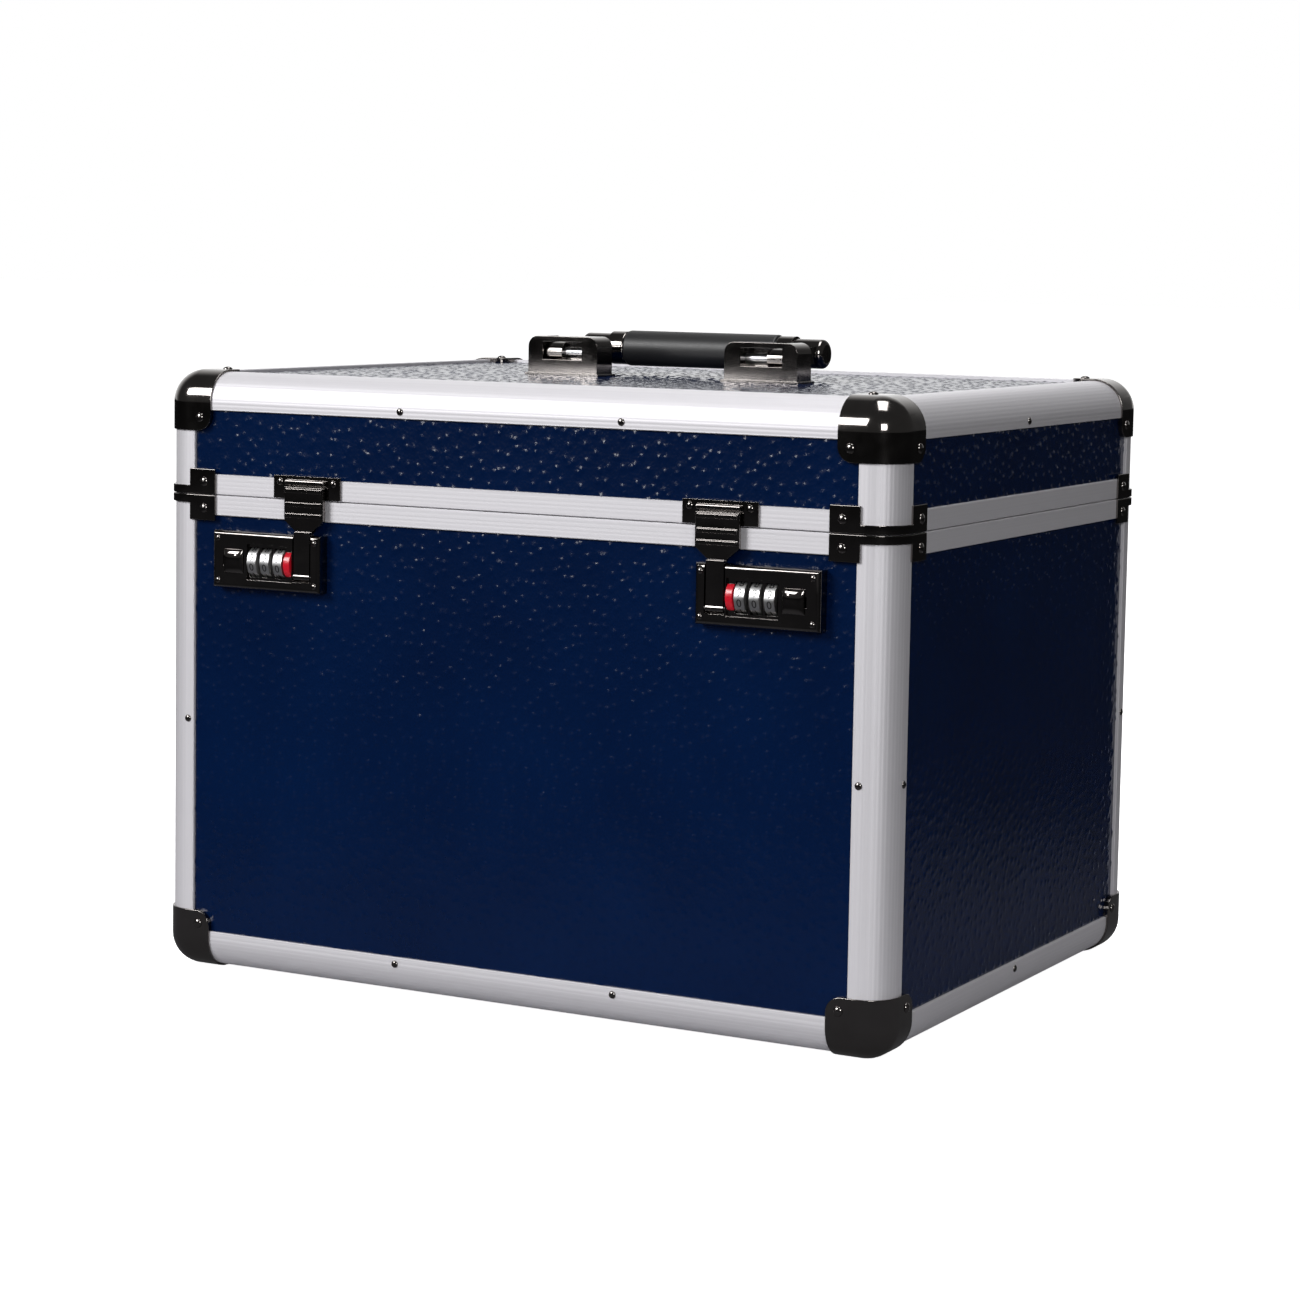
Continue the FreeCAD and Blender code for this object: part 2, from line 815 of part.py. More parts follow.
# Trays
def ear(y, pivot_z, edge_z):
    # A tab of a tray's end wall that carries a stud.
    levels = sorted([pivot_z, edge_z])
    tab = block((tray_half - tray_wall, tray_half), (y - ear_round, y + ear_round), levels)
    return [tab, cross_rod((tray_half - tray_wall, tray_half), y, pivot_z, ear_round)]


def tray(floor, rim, pivots):
    shell = block((-tray_half, tray_half), (tray_front, tray_back), (floor, rim))
    inside = block((-tray_half + tray_wall, tray_half - tray_wall),
                   (tray_front + tray_wall, tray_back - tray_wall), (floor + tray_wall, rim + 1))
    shell = rounded_upright(shell, tray_round).cut(rounded_upright(inside, tray_round - tray_wall))
    pieces = [shell]
    bores = []
    for y, z, edge_z in pivots:
        for tab in ear(y, z, edge_z):
            pieces += pair(tab)
        bores.append(cross_rod((-tray_half - 1, tray_half + 1), y, z, stud_radius))
    return cut_all(joined(pieces), bores)


def tray_studs(pivots):
    studs = []
    for y, z, edge_z in pivots:
        inner = tray_half - tray_wall
        shank = cross_rod((inner, bar_outer + link_gap / 3), y, z, stud_radius)
        head = cross_rod((inner - stud_head_thick, inner), y, z, stud_head)
        studs += pair(joined([shank, head]))
    return studs


def bay_edges(bays):
    # Where the dividers between equal bays stand.
    bay = (2 * tray_half - 2 * tray_wall) / bays
    return [(number - bays / 2) * bay for number in range(1, bays)]


def dividers(floor, rim, long_at, rows):
    # A long divider and short ones that butt against it.
    low = floor + tray_wall
    high = rim - divider_drop
    inner = tray_half - tray_wall
    half = divider_thick / 2
    boards = []
    if long_at is not None:
        boards.append(block((-inner, inner), (long_at - half, long_at + half), (low, high)))
    for start, end, places in rows:
        for place in places:
            boards.append(block((place - half, place + half), (start, end), (low, high)))
    return boards


def link_bar(pivot_y):
    # Lies forward from its pivot on the body. Each bar carries the lower tray at half its reach.
    tip = pivot_y - link_reach
    middle = pivot_y - link_reach / 2
    bar = [
        block((bar_inner, bar_outer), (tip, pivot_y), (link_z - link_round, link_z + link_round)),
        cross_rod((bar_inner, bar_outer), tip, link_z, link_round),
        cross_rod((bar_inner, bar_outer), pivot_y, link_z, link_round),
    ]
    bores = [cross_rod((bar_inner - 1, bar_outer + 1), y, link_z, stud_radius + running_clear)
             for y in (tip, middle, pivot_y)]
    return cut_all(joined(bar), bores)


def link_plate():
    return block((link_plate_face, inner_w),
                 (front_link_y - link_plate_margin, rear_link_y + link_plate_margin),
                 (link_z - link_plate_half, link_z + link_plate_half))


def link_pivot(pivot_y):
    head_face = bar_inner - pivot_head_gap
    shank = cross_rod((head_face, link_plate_face), pivot_y, link_z, stud_radius)
    head = cross_rod((head_face - pivot_head_thick, head_face), pivot_y, link_z, pivot_head)
    return joined([shank, head])


def lid_arm():
    # Hangs from the lid's side and carries the upper tray's third stud.
    y = lid_pivot_y
    plate = block((bar_inner, bar_outer), (y - lid_arm_half, y + lid_arm_half),
                  (parting - lid_arm_drop, parting + lid_arm_top))
    foot = block((bar_outer, inner_w), (y - lid_arm_half, y + lid_arm_half),
                 (parting + lid_arm_foot, parting + lid_arm_top))
    bore = cross_rod((bar_inner - 1, bar_outer + 1), y, parting, stud_radius + lid_pivot_clear)
    return joined([plate, foot]).cut(bore)


def save_body():
    panel_low = case_bottom + edge_round
    panel_high = body_top - rim_lip
    front = front_panel(panel_low, panel_high)
    side = side_panel(panel_low, panel_high)
    save("front_panel", cut_all(front, pair(lock_opening())))
    save("rear_panel", across_y(front))
    save("right_panel", side)
    save("left_panel", across_x(side))
    save("bottom_panel", flat_panel(case_bottom + flange_thick))
    save("body_lining", body_lining())
    save("corner_posts", four(post(case_bottom + flange_width, body_top)))
    save("bottom_rails", rails(case_bottom, 1))
    save("body_rim_rails", rims(body_rim_section, body_top))
    cap = corner_cap(case_bottom - cap_thick, case_bottom + cap_reach, case_bottom + cap_reach)
    save("bottom_corner_caps", four(cap))
    save("body_parting_brackets", four(parting_bracket(body_top, -1)))
    rivets = cap_rivets(case_bottom, -1) + bracket_rivets(body_top - bracket_rivet_drop)
    low = case_bottom + profile_rivet_inset
    rivets += profile_rivets(low, [-profile_rivet_offset, profile_rivet_offset], [0])
    middle = (case_bottom + body_top) / 2 + post_rivet_rise
    post_x = half_w - profile_rivet_inset
    post_y = half_d - profile_rivet_inset
    rivets += profile_rivets(middle, [-post_x, post_x], [-post_y, post_y])
    save("body_rivets", rivets + latch_rivets() + hinge_rivets(-1))
    save("lock_plate_right", latch_plate())
    save("lock_plate_left", across_x(latch_plate()))
    save("lock_housings", pair(lock_housing()))
    save("dial_axles", pair(dial_axle()))
    save("lock_markers", pair(lock_marker()))
    save("hasp_pins", pair(hasp_pin()))
    save("link_plates", pair(link_plate()))
    save("link_pivots", pair(link_pivot(front_link_y)) + pair(link_pivot(rear_link_y)))


def save_lid():
    panel_low = lid_bottom + rim_lip
    panel_high = case_top - edge_round
    front = front_panel(panel_low, panel_high)
    side = side_panel(panel_low, panel_high)
    save("lid_front_panel", front)
    save("lid_rear_panel", across_y(front))
    save("lid_right_panel", side)
    save("lid_left_panel", across_x(side))
    save("lid_top_panel", flat_panel(top_skin - panel_thick))
    save("lid_lining", lid_lining())
    save("lid_posts", four(post(lid_bottom, case_top - flange_width)))
    save("lid_top_rails", rails(case_top, -1))
    save("lid_rim_rails", rims(lid_rim_section, lid_bottom))
    cap = corner_cap(case_top - cap_reach, case_top + cap_thick, case_top - cap_reach)
    save("top_corner_caps", four(cap))
    save("lid_parting_brackets", four(parting_bracket(lid_bottom, 1)))
    rivets = cap_rivets(case_top, 1) + bracket_rivets(lid_bottom + bracket_rivet_rise)
    high = case_top - profile_rivet_inset
    rivets += profile_rivets(high, [-profile_rivet_offset, profile_rivet_offset], [0])
    save("lid_rivets", rivets + keeper_rivets() + hinge_rivets(1))
    save("keeper_right", keeper())
    save("keeper_left", across_x(keeper()))
    save("lid_arms", pair(lid_arm()))
    save("handle_mounts", pair(handle_mount()))
    save("handle_pins", pair(handle_pin()))


def save_hinges():
    body_leaf, lid_leaf, pin = hinges()
    save("body_hinge_leaves", pair(body_leaf))
    save("lid_hinge_leaves", pair(lid_leaf))
    save("hinge_pins", pair(pin))


def save_latch_movers():
    save("hasp_right", hasp())
    save("hasp_left", across_x(hasp()))
    save("button_right", slide_button())
    save("button_left", across_x(slide_button()))
    for number, place in enumerate(dial_places(), 1):
        save("dial_right_%d" % number, dial(place))
        save("dial_left_%d" % number, across_x(dial(place)))


def save_trays():
    front_y = front_link_y - link_reach
    rear_y = rear_link_y - link_reach
    upper = [(front_y, link_z, upper_floor + tray_wall), (rear_y, link_z, upper_floor + tray_wall),
             (lid_pivot_y, parting, upper_rim - tray_wall)]
    lower = [(front_link_y - link_reach / 2, link_z, lower_rim - tray_wall),
             (rear_link_y - link_reach / 2, link_z, lower_rim - tray_wall)]
    save("upper_tray", tray(upper_floor, upper_rim, upper))
    save("lower_tray", tray(lower_floor, lower_rim, lower))
    save("upper_tray_studs", tray_studs(upper))
    save("lower_tray_studs", tray_studs(lower))
    front = tray_front + tray_wall
    back = tray_back - tray_wall
    split = (tray_front + tray_back) / 2
    half = divider_thick / 2
    upper_rows = [(front, split - half, bay_edges(upper_front_bays)),
                  (split + half, back, bay_edges(upper_rear_bays))]
    save("upper_tray_dividers", dividers(upper_floor, upper_rim, split, upper_rows))
    lower_rows = [(front, back, bay_edges(lower_bays))]
    save("lower_tray_dividers", dividers(lower_floor, lower_rim, None, lower_rows))
    save("front_links", pair(link_bar(front_link_y)))
    save("rear_links", pair(link_bar(rear_link_y)))


os.makedirs("parts", exist_ok=True)
saved = []
save_body()
save_lid()
save_hinges()
save_latch_movers()
save("handle_arms", pair(handle_arm()))
save("handle_grip", handle_grip())
save_trays()
print("%d nodes saved" % len(saved))
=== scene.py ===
import json
import math

import bmesh
import bpy
from mathutils import Matrix, Vector


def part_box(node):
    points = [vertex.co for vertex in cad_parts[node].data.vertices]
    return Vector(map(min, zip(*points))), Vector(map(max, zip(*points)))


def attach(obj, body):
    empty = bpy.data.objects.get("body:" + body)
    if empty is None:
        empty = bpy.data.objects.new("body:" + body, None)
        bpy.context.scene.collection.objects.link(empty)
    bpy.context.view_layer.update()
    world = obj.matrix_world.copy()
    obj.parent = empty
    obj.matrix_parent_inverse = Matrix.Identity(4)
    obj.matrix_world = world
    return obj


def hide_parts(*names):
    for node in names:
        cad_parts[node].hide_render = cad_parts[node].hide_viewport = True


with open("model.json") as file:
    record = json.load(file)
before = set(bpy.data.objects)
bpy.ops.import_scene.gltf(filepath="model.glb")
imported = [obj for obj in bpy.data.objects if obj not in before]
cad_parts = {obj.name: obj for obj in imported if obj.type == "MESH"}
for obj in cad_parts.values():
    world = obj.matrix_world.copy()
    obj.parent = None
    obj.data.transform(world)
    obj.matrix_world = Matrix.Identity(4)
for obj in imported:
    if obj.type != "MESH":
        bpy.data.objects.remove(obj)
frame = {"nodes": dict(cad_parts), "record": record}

mm = 0.001
mergeDistance = 0.001 * mm    # corners closer than this are one
nodes = frame["nodes"]
scene = bpy.context.scene
scene.view_settings.view_transform = "Standard"
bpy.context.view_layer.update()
print("frame loaded: %d nodes" % len(nodes))


def linear(code):
    # sRGB hex to linear colour
    parts = [int(code[i:i + 2], 16) / 255 for i in (1, 3, 5)]
    return [p / 12.92 if p <= 0.04045 else ((p + 0.055) / 1.055) ** 2.4 for p in parts] + [1.0]


def addNode(tree, kind, settings=None, inputs=None):
    node = tree.nodes.new(kind)
    for name, value in (settings or {}).items():
        setattr(node, name, value)
    for key, value in (inputs or {}).items():
        if isinstance(value, bpy.types.NodeSocket):
            tree.links.new(value, node.inputs[key])
        else:
            node.inputs[key].default_value = value
    return node


mixFactor, mixFirst, mixSecond, mixColour = 0, 6, 7, 2    # sockets of a colour Mix node
rangeIn, fromLow, fromHigh, toLow, toHigh = range(5)      # sockets of a Map Range node

embossSizes = {
    "grid": 1.25 * mm,      # spacing of the skin's mesh
    "spacing": 5.8 * mm,    # from one blister to the next
    "scatter": 0.95,        # how far the blisters stray from an even grid
    "reach": 0.27,          # blister's radius, as a share of the spacing
    "relief": 0.4 * mm,
    "ground": 0.06 * mm,    # thickness of the laminate's flat ground over the board
    "skirt": 0.3 * mm,      # how far the skin's edge sinks into the board
    "margin": 0.05 * mm,    # between the skin and a profile
    "patternShift": 3,      # a skin's pattern is moved by its place, this many times over
}
laminate = {
    "low": "#000d2a", "high": "#00163a", "cloudScale": 14.0,    # slow drift between the two blues
    "grain": 1.5 * mm, "tooth": 0.5 * mm,                       # leathery grain, and the roll's tooth
    "crown": 1.3,                                               # a blister's weight against the grain
    "grainBump": 0.5, "grainDepth": 0.12 * mm, "toothBump": 0.18, "toothDepth": 0.05 * mm,
    "smooth": 0.11, "rough": 0.22, "ior": 1.53, "specular": 0.34,
}
aluminium = {
    "low": "#c3c1c5", "high": "#dcdade", "smooth": 0.46, "rough": 0.6, "metallic": 0.5,
    "lineGap": 0.5 * mm, "lineLength": 1.2,    # drawn lines: across, and repeats per metre along
    "bump": 0.16, "depth": 0.05 * mm,
}
plating = {
    "smudgeScale": 90.0, "scratch": 0.6 * mm, "bump": 0.05, "depth": 0.03 * mm,
}
moulding = {
    "ior": 1.5, "depth": 0.1 * mm, "spread": 0.06,    # spread: how much the grain changes the roughness
}
felt = {
    "low": "#1a1a1f", "high": "#35353c", "fibre": 0.9 * mm, "tangle": 1.4, "bump": 0.6,
    "depth": 0.25 * mm, "rough": 0.95, "bloom": 0.35, "bloomSpread": 0.5,
}


def startMaterial(name):
    material = bpy.data.materials.new(name)
    material.use_nodes = True
    tree = material.node_tree
    tree.nodes.clear()
    return material, tree


def finishMaterial(tree, shader):
    addNode(tree, "ShaderNodeOutputMaterial", inputs={"Surface": shader.outputs["BSDF"]})


def embossedLaminate():
    # Navy PVC laminate, calender-embossed over board: deep even blue whose small round
    # blisters catch the lamp, over a fine leathery grain.
    material, tree = startMaterial("embossed navy laminate")
    place = addNode(tree, "ShaderNodeTexCoord").outputs["Object"]
    grain = addNode(tree, "ShaderNodeTexVoronoi", {"feature": "SMOOTH_F1"}, {
        "Vector": place, "Scale": 1 / laminate["grain"], "Smoothness": 0.6, "Randomness": 1.0})
    tooth = addNode(tree, "ShaderNodeTexNoise", {}, {
        "Vector": place, "Scale": 1 / laminate["tooth"], "Detail": 3.0}).outputs["Fac"]
    cloud = addNode(tree, "ShaderNodeTexNoise", {}, {
        "Vector": place, "Scale": laminate["cloudScale"], "Detail": 2.0})
    flat = addNode(tree, "ShaderNodeAttribute", {"attribute_name": "flat"}).outputs["Vector"]
    blister = addNode(tree, "ShaderNodeTexVoronoi", {"voronoi_dimensions": "2D"}, {
        "Vector": flat, "Scale": 1 / embossSizes["spacing"], "Randomness": embossSizes["scatter"]})
    crown = addNode(tree, "ShaderNodeMapRange", {}, {
        rangeIn: blister.outputs["Distance"], fromLow: 0.0, fromHigh: embossSizes["reach"],
        toLow: 1.0, toHigh: 0.0})
    height = addNode(tree, "ShaderNodeMath", {"operation": "MULTIPLY_ADD"}, {
        0: crown.outputs[0], 1: laminate["crown"], 2: grain.outputs["Distance"]})
    coarse = addNode(tree, "ShaderNodeBump", {}, {
        "Strength": laminate["grainBump"], "Distance": laminate["grainDepth"],
        "Height": height.outputs[0]})
    bump = addNode(tree, "ShaderNodeBump", {}, {
        "Strength": laminate["toothBump"], "Distance": laminate["toothDepth"], "Height": tooth,
        "Normal": coarse.outputs[0]})
    colour = addNode(tree, "ShaderNodeMix", {"data_type": "RGBA"}, {
        mixFactor: cloud.outputs["Fac"], mixFirst: linear(laminate["low"]),
        mixSecond: linear(laminate["high"])})
    roughness = addNode(tree, "ShaderNodeMapRange", {}, {
        rangeIn: tooth, toLow: laminate["smooth"], toHigh: laminate["rough"]})
    finishMaterial(tree, addNode(tree, "ShaderNodeBsdfPrincipled", {}, {
        "Base Color": colour.outputs[mixColour], "Roughness": roughness.outputs[0],
        "IOR": laminate["ior"], "Specular IOR Level": laminate["specular"],
        "Normal": bump.outputs[0]}))
    return material


def anodisedAluminium():
    # Extruded aluminium, satin anodised: pale and almost matt, with drawn lines along its length.
    material, tree = startMaterial("anodised aluminium profile")
    along = addNode(tree, "ShaderNodeUVMap", {"uv_map": "run"}).outputs[0]
    stretched = addNode(tree, "ShaderNodeMapping", {}, {
        "Vector": along, "Scale": (1 / aluminium["lineGap"], aluminium["lineLength"], 1.0)})
    lines = addNode(tree, "ShaderNodeTexNoise", {}, {
        "Vector": stretched.outputs[0], "Scale": 1.0, "Detail": 4.0, "Roughness": 0.7}).outputs["Fac"]
    bump = addNode(tree, "ShaderNodeBump", {}, {
        "Strength": aluminium["bump"], "Distance": aluminium["depth"], "Height": lines})
    colour = addNode(tree, "ShaderNodeMix", {"data_type": "RGBA"}, {
        mixFactor: lines, mixFirst: linear(aluminium["low"]), mixSecond: linear(aluminium["high"])})
    roughness = addNode(tree, "ShaderNodeMapRange", {}, {
        rangeIn: lines, fromLow: 0.3, fromHigh: 0.7,
        toLow: aluminium["smooth"], toHigh: aluminium["rough"]})
    finishMaterial(tree, addNode(tree, "ShaderNodeBsdfPrincipled", {}, {
        "Base Color": colour.outputs[mixColour], "Roughness": roughness.outputs[0],
        "Metallic": aluminium["metallic"], "Normal": bump.outputs[0]}))
    return material


def platedMetal(name, low, high, rough, wear):
    # rough and wear give the roughness and how much faint rubbing marks change it
    material, tree = startMaterial(name)
    place = addNode(tree, "ShaderNodeTexCoord").outputs["Object"]
    smudge = addNode(tree, "ShaderNodeTexNoise", {}, {
        "Vector": place, "Scale": plating["smudgeScale"], "Detail": 5.0}).outputs["Fac"]
    scratch = addNode(tree, "ShaderNodeTexNoise", {}, {
        "Vector": place, "Scale": 1 / plating["scratch"], "Detail": 3.0})
    bump = addNode(tree, "ShaderNodeBump", {}, {
        "Strength": plating["bump"], "Distance": plating["depth"], "Height": scratch.outputs["Fac"]})
    colour = addNode(tree, "ShaderNodeMix", {"data_type": "RGBA"}, {
        mixFactor: smudge, mixFirst: linear(low), mixSecond: linear(high)})
    roughness = addNode(tree, "ShaderNodeMapRange", {}, {
        rangeIn: smudge, fromLow: 0.3, fromHigh: 0.7, toLow: rough, toHigh: rough + wear})
    finishMaterial(tree, addNode(tree, "ShaderNodeBsdfPrincipled", {}, {
        "Base Color": colour.outputs[mixColour], "Roughness": roughness.outputs[0],
        "Metallic": 1.0, "Normal": bump.outputs[0]}))
    return material


def mouldedPlastic(name, low, high, rough, grainSize, strength, ior=moulding["ior"]):
    material, tree = startMaterial(name)
    place = addNode(tree, "ShaderNodeTexCoord").outputs["Object"]
    grain = addNode(tree, "ShaderNodeTexNoise", {}, {
        "Vector": place, "Scale": 1 / grainSize, "Detail": 4.0}).outputs["Fac"]
    bump = addNode(tree, "ShaderNodeBump", {}, {
        "Strength": strength, "Distance": moulding["depth"], "Height": grain})
    colour = addNode(tree, "ShaderNodeMix", {"data_type": "RGBA"}, {
        mixFactor: grain, mixFirst: linear(low), mixSecond: linear(high)})
    roughness = addNode(tree, "ShaderNodeMapRange", {}, {
        rangeIn: grain, fromLow: 0.3, fromHigh: 0.7,
        toLow: rough - moulding["spread"], toHigh: rough + moulding["spread"]})
    finishMaterial(tree, addNode(tree, "ShaderNodeBsdfPrincipled", {}, {
        "Base Color": colour.outputs[mixColour], "Roughness": roughness.outputs[0], "IOR": ior,
        "Normal": bump.outputs[0]}))
    return material


def blackFelt():
    # Needled polyester felt glued to board: no shine, a pale bloom of loose fibres at a low angle.
    material, tree = startMaterial("needled black felt")
    place = addNode(tree, "ShaderNodeTexCoord").outputs["Object"]
    fibres = addNode(tree, "ShaderNodeTexNoise", {}, {
        "Vector": place, "Scale": 1 / felt["fibre"], "Detail": 6.0,
        "Distortion": felt["tangle"]}).outputs["Fac"]
    bump = addNode(tree, "ShaderNodeBump", {}, {
        "Strength": felt["bump"], "Distance": felt["depth"], "Height": fibres})
    colour = addNode(tree, "ShaderNodeMix", {"data_type": "RGBA"}, {
        mixFactor: fibres, mixFirst: linear(felt["low"]), mixSecond: linear(felt["high"])})
    finishMaterial(tree, addNode(tree, "ShaderNodeBsdfPrincipled", {}, {
        "Base Color": colour.outputs[mixColour], "Roughness": felt["rough"],
        "Sheen Weight": felt["bloom"], "Sheen Roughness": felt["bloomSpread"],
        "Normal": bump.outputs[0]}))
    return material


finishes = {
    "navy_panel": embossedLaminate(),
    "lining": blackFelt(),
    "aluminium": anodisedAluminium(),
    # Pressed steel, polished and nickel-chrome plated: dark mirror with bright edges.
    "chrome": platedMetal("polished nickel-chrome plate", "#6f6b69", "#7f7b78", 0.07, 0.06),
    # Zinc-plated steel, tumbled: duller and paler than the fittings.
    "steel": platedMetal("tumbled zinc-plated steel", "#8f8f92", "#a6a6a8", 0.24, 0.12),
    # Satin nickel on die-cast zinc: whitish, so that the figures read.
    "dial_metal": platedMetal("satin nickel-plated zinc", "#c9c9c9", "#dedede", 0.3, 0.1),
    # Injection-moulded ABS, spark-eroded tool: flat black.
    "lock_plastic": mouldedPlastic("moulded black ABS", "#0c0c0d", "#161617", 0.5, 0.5 * mm, 0.2),
    # Injection-moulded acrylic: bright red with a gloss.
    "red_plastic": mouldedPlastic(
        "moulded red acrylic", "#a3101f", "#c4182a", 0.22, 0.8 * mm, 0.05, 1.49),
    # Soft-touch elastomer over a steel tube: satin black.
    "grip": mouldedPlastic("soft-touch black elastomer", "#101011", "#1b1b1d", 0.46, 0.45 * mm, 0.25),
    # Thermoformed polystyrene with a leather-grained tool: dull black with a fine grain.
    "tray_plastic": mouldedPlastic(
        "grained black polystyrene", "#212125", "#333338", 0.55, 1.1 * mm, 0.5, 1.59),
}
# Dark enamel wiped into the dials' figures
figureEnamel = mouldedPlastic("black enamel figures", "#08080a", "#121214", 0.35, 0.3 * mm, 0.05)
slotOf = {row["node"]: row["material_slot"] for row in frame["record"]["subparts"]}
bodyOf = {node: body for body, members in frame["record"]["behaviour"]["bodies"].items()
          for node in members}
for node, name in slotOf.items():
    nodes[node].data.materials.clear()
    nodes[node].data.materials.append(finishes[name])
print("materials made")


def newObject(name, mesh):
    thing = bpy.data.objects.new(name, mesh)
    scene.collection.objects.link(thing)
    return thing


def shadeSmooth(mesh, angle):
    mesh.shade_smooth()
    mesh.set_sharp_from_angle(angle=math.radians(angle))


def baked(thing, name):
    # the object's modifiers made into a plain mesh
    graph = bpy.context.evaluated_depsgraph_get()
    mesh = bpy.data.meshes.new_from_object(thing.evaluated_get(graph))
    old = thing.data
    thing.modifiers.clear()
    thing.data = mesh
    mesh.name = name
    bpy.data.meshes.remove(old)
    return thing


def setInput(modifier, name, value):
    for item in modifier.node_group.interface.items_tree:
        if item.item_type == "SOCKET" and item.in_out == "INPUT" and item.name == name:
            modifier[item.identifier] = value


def newTree(name, sockets):
    tree = bpy.data.node_groups.new(name, "GeometryNodeTree")
    tree.interface.new_socket("Geometry", in_out="INPUT", socket_type="NodeSocketGeometry")
    for socket, kind in sockets.items():
        tree.interface.new_socket(socket, in_out="INPUT", socket_type=kind)
    tree.interface.new_socket("Geometry", in_out="OUTPUT", socket_type="NodeSocketGeometry")
    return tree, addNode(tree, "NodeGroupInput")


def finishTree(tree, geometry, given):
    single = addNode(tree, "GeometryNodeRealizeInstances", inputs={"Geometry": geometry})
    painted = addNode(tree, "GeometryNodeSetMaterial", inputs={
        "Geometry": single.outputs[0], "Material": given.outputs["Material"]})
    addNode(tree, "NodeGroupOutput", inputs={"Geometry": painted.outputs[0]})


def placed(thing, body, slot, *stoodFor):
    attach(thing, body)
    if stoodFor:
        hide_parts(*stoodFor)
    return thing


def skinTree():
    # a fine grid over a panel, raised into blisters
    tree, given = newTree("blistered skin", {
        "Width": "NodeSocketFloat", "Height": "NodeSocketFloat", "Columns": "NodeSocketInt",
        "Rows": "NodeSocketInt", "Place": "NodeSocketVector", "Turn": "NodeSocketRotation",
        "Shift": "NodeSocketVector", "Scatter": "NodeSocketFloat", "Spacing": "NodeSocketFloat",
        "Reach": "NodeSocketFloat", "Relief": "NodeSocketFloat", "Material": "NodeSocketMaterial"})
    take = given.outputs
    grid = addNode(tree, "GeometryNodeMeshGrid", {}, {
        "Size X": take["Width"], "Size Y": take["Height"],
        "Vertices X": take["Columns"], "Vertices Y": take["Rows"]})
    here = addNode(tree, "GeometryNodeInputPosition").outputs[0]
    flat = addNode(tree, "ShaderNodeVectorMath", {"operation": "ADD"}, {0: here, 1: take["Shift"]})
    kept = addNode(tree, "GeometryNodeStoreNamedAttribute", {"data_type": "FLOAT_VECTOR"}, {
        "Geometry": grid.outputs[0], "Name": "flat", "Value": flat.outputs[0]})
    laid = addNode(tree, "GeometryNodeTransform", {}, {
        "Geometry": kept.outputs[0], "Translation": take["Place"], "Rotation": take["Turn"]})
    rate = addNode(tree, "ShaderNodeMath", {"operation": "DIVIDE"}, {0: 1.0, 1: take["Spacing"]})
    read = addNode(tree, "GeometryNodeInputNamedAttribute", {"data_type": "FLOAT_VECTOR"},
                   {"Name": "flat"})
    cells = addNode(tree, "ShaderNodeTexVoronoi", {"voronoi_dimensions": "2D"}, {
        "Vector": read.outputs[0], "Scale": rate.outputs[0], "Randomness": take["Scatter"]})
    crown = addNode(tree, "ShaderNodeMapRange", {"interpolation_type": "SMOOTHSTEP"}, {
        rangeIn: cells.outputs["Distance"], fromLow: 0.0, fromHigh: take["Reach"],
        toLow: take["Relief"], toHigh: 0.0})
    lift = addNode(tree, "ShaderNodeVectorMath", {"operation": "SCALE"}, {
        0: addNode(tree, "GeometryNodeInputNormal").outputs[0], "Scale": crown.outputs[0]})
    raised = addNode(tree, "GeometryNodeSetPosition", {}, {
        "Geometry": laid.outputs[0], "Offset": lift.outputs[0]})
    finishTree(tree, raised.outputs[0], given)
    return tree


def skinFace(mesh, facing, axis):
    # where the flat ground between the blisters lies
    values = [v.co[axis] * facing[axis] for v in mesh.vertices]
    return min(values) * facing[axis]


def skirted(mesh, facing, openings):
    # cuts the openings, then turns the skin's edge down into the board and closes its back
    shape = bmesh.new()
    shape.from_mesh(mesh)
    lost = [v for v in shape.verts
            if any(low.x < v.co.x < high.x and low.z < v.co.z < high.z for low, high in openings)]
    bmesh.ops.delete(shape, geom=lost, context="VERTS")
    rim = [edge for edge in shape.edges if edge.is_boundary]
    made = bmesh.ops.extrude_edge_only(shape, edges=rim)["geom"]
    axis = max(range(3), key=lambda i: abs(facing[i]))
    flat = skinFace(mesh, facing, axis) - facing[axis] * embossSizes["skirt"]
    for item in made:
        if isinstance(item, bmesh.types.BMVert):
            item.co[axis] = flat
    low = [item for item in made if isinstance(item, bmesh.types.BMEdge)]
    bmesh.ops.triangle_fill(shape, edges=low, use_beauty=False)
    bmesh.ops.recalc_face_normals(shape, faces=shape.faces)
    shape.to_mesh(mesh)
    shape.free()


edgeSizes = {
    "flange": 17.3 * mm, "round": 14.0 * mm, "metal": 1.6 * mm, "wall": 5.6 * mm,
    "rim": 9.2 * mm, "lip": 3.0 * mm, "leg": 1.8 * mm, "tongue": 3.0 * mm, "tongueGap": 0.3 * mm,
    "chamfer": 0.3 * mm,
    "rimShare": 0.4,        # depth of the rims' flutes, as a share of the others'
    "flutePitch": 1.9 * mm, "fluteDepth": 0.045 * mm, "fluteSteps": 6,
    "caseWidth": 370 * mm, "caseDepth": 288 * mm, "bottom": 1 * mm, "top": 278 * mm,
    "bodyTop": 221.8 * mm, "lidBottom": 222.2 * mm,
}
halfWidth = edgeSizes["caseWidth"] / 2
halfDepth = edgeSizes["caseDepth"] / 2
skinGroup = skinTree()


def latchOpenings():
    # the boxes of the right and left lock housings, which share a node
    low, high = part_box("lock_housings")
    inner = min(v.co.x for v in nodes["lock_housings"].data.vertices if v.co.x > 0)
    return [(Vector((inner, low.y, low.z)), high), (low, Vector((-inner, high.y, high.z)))]


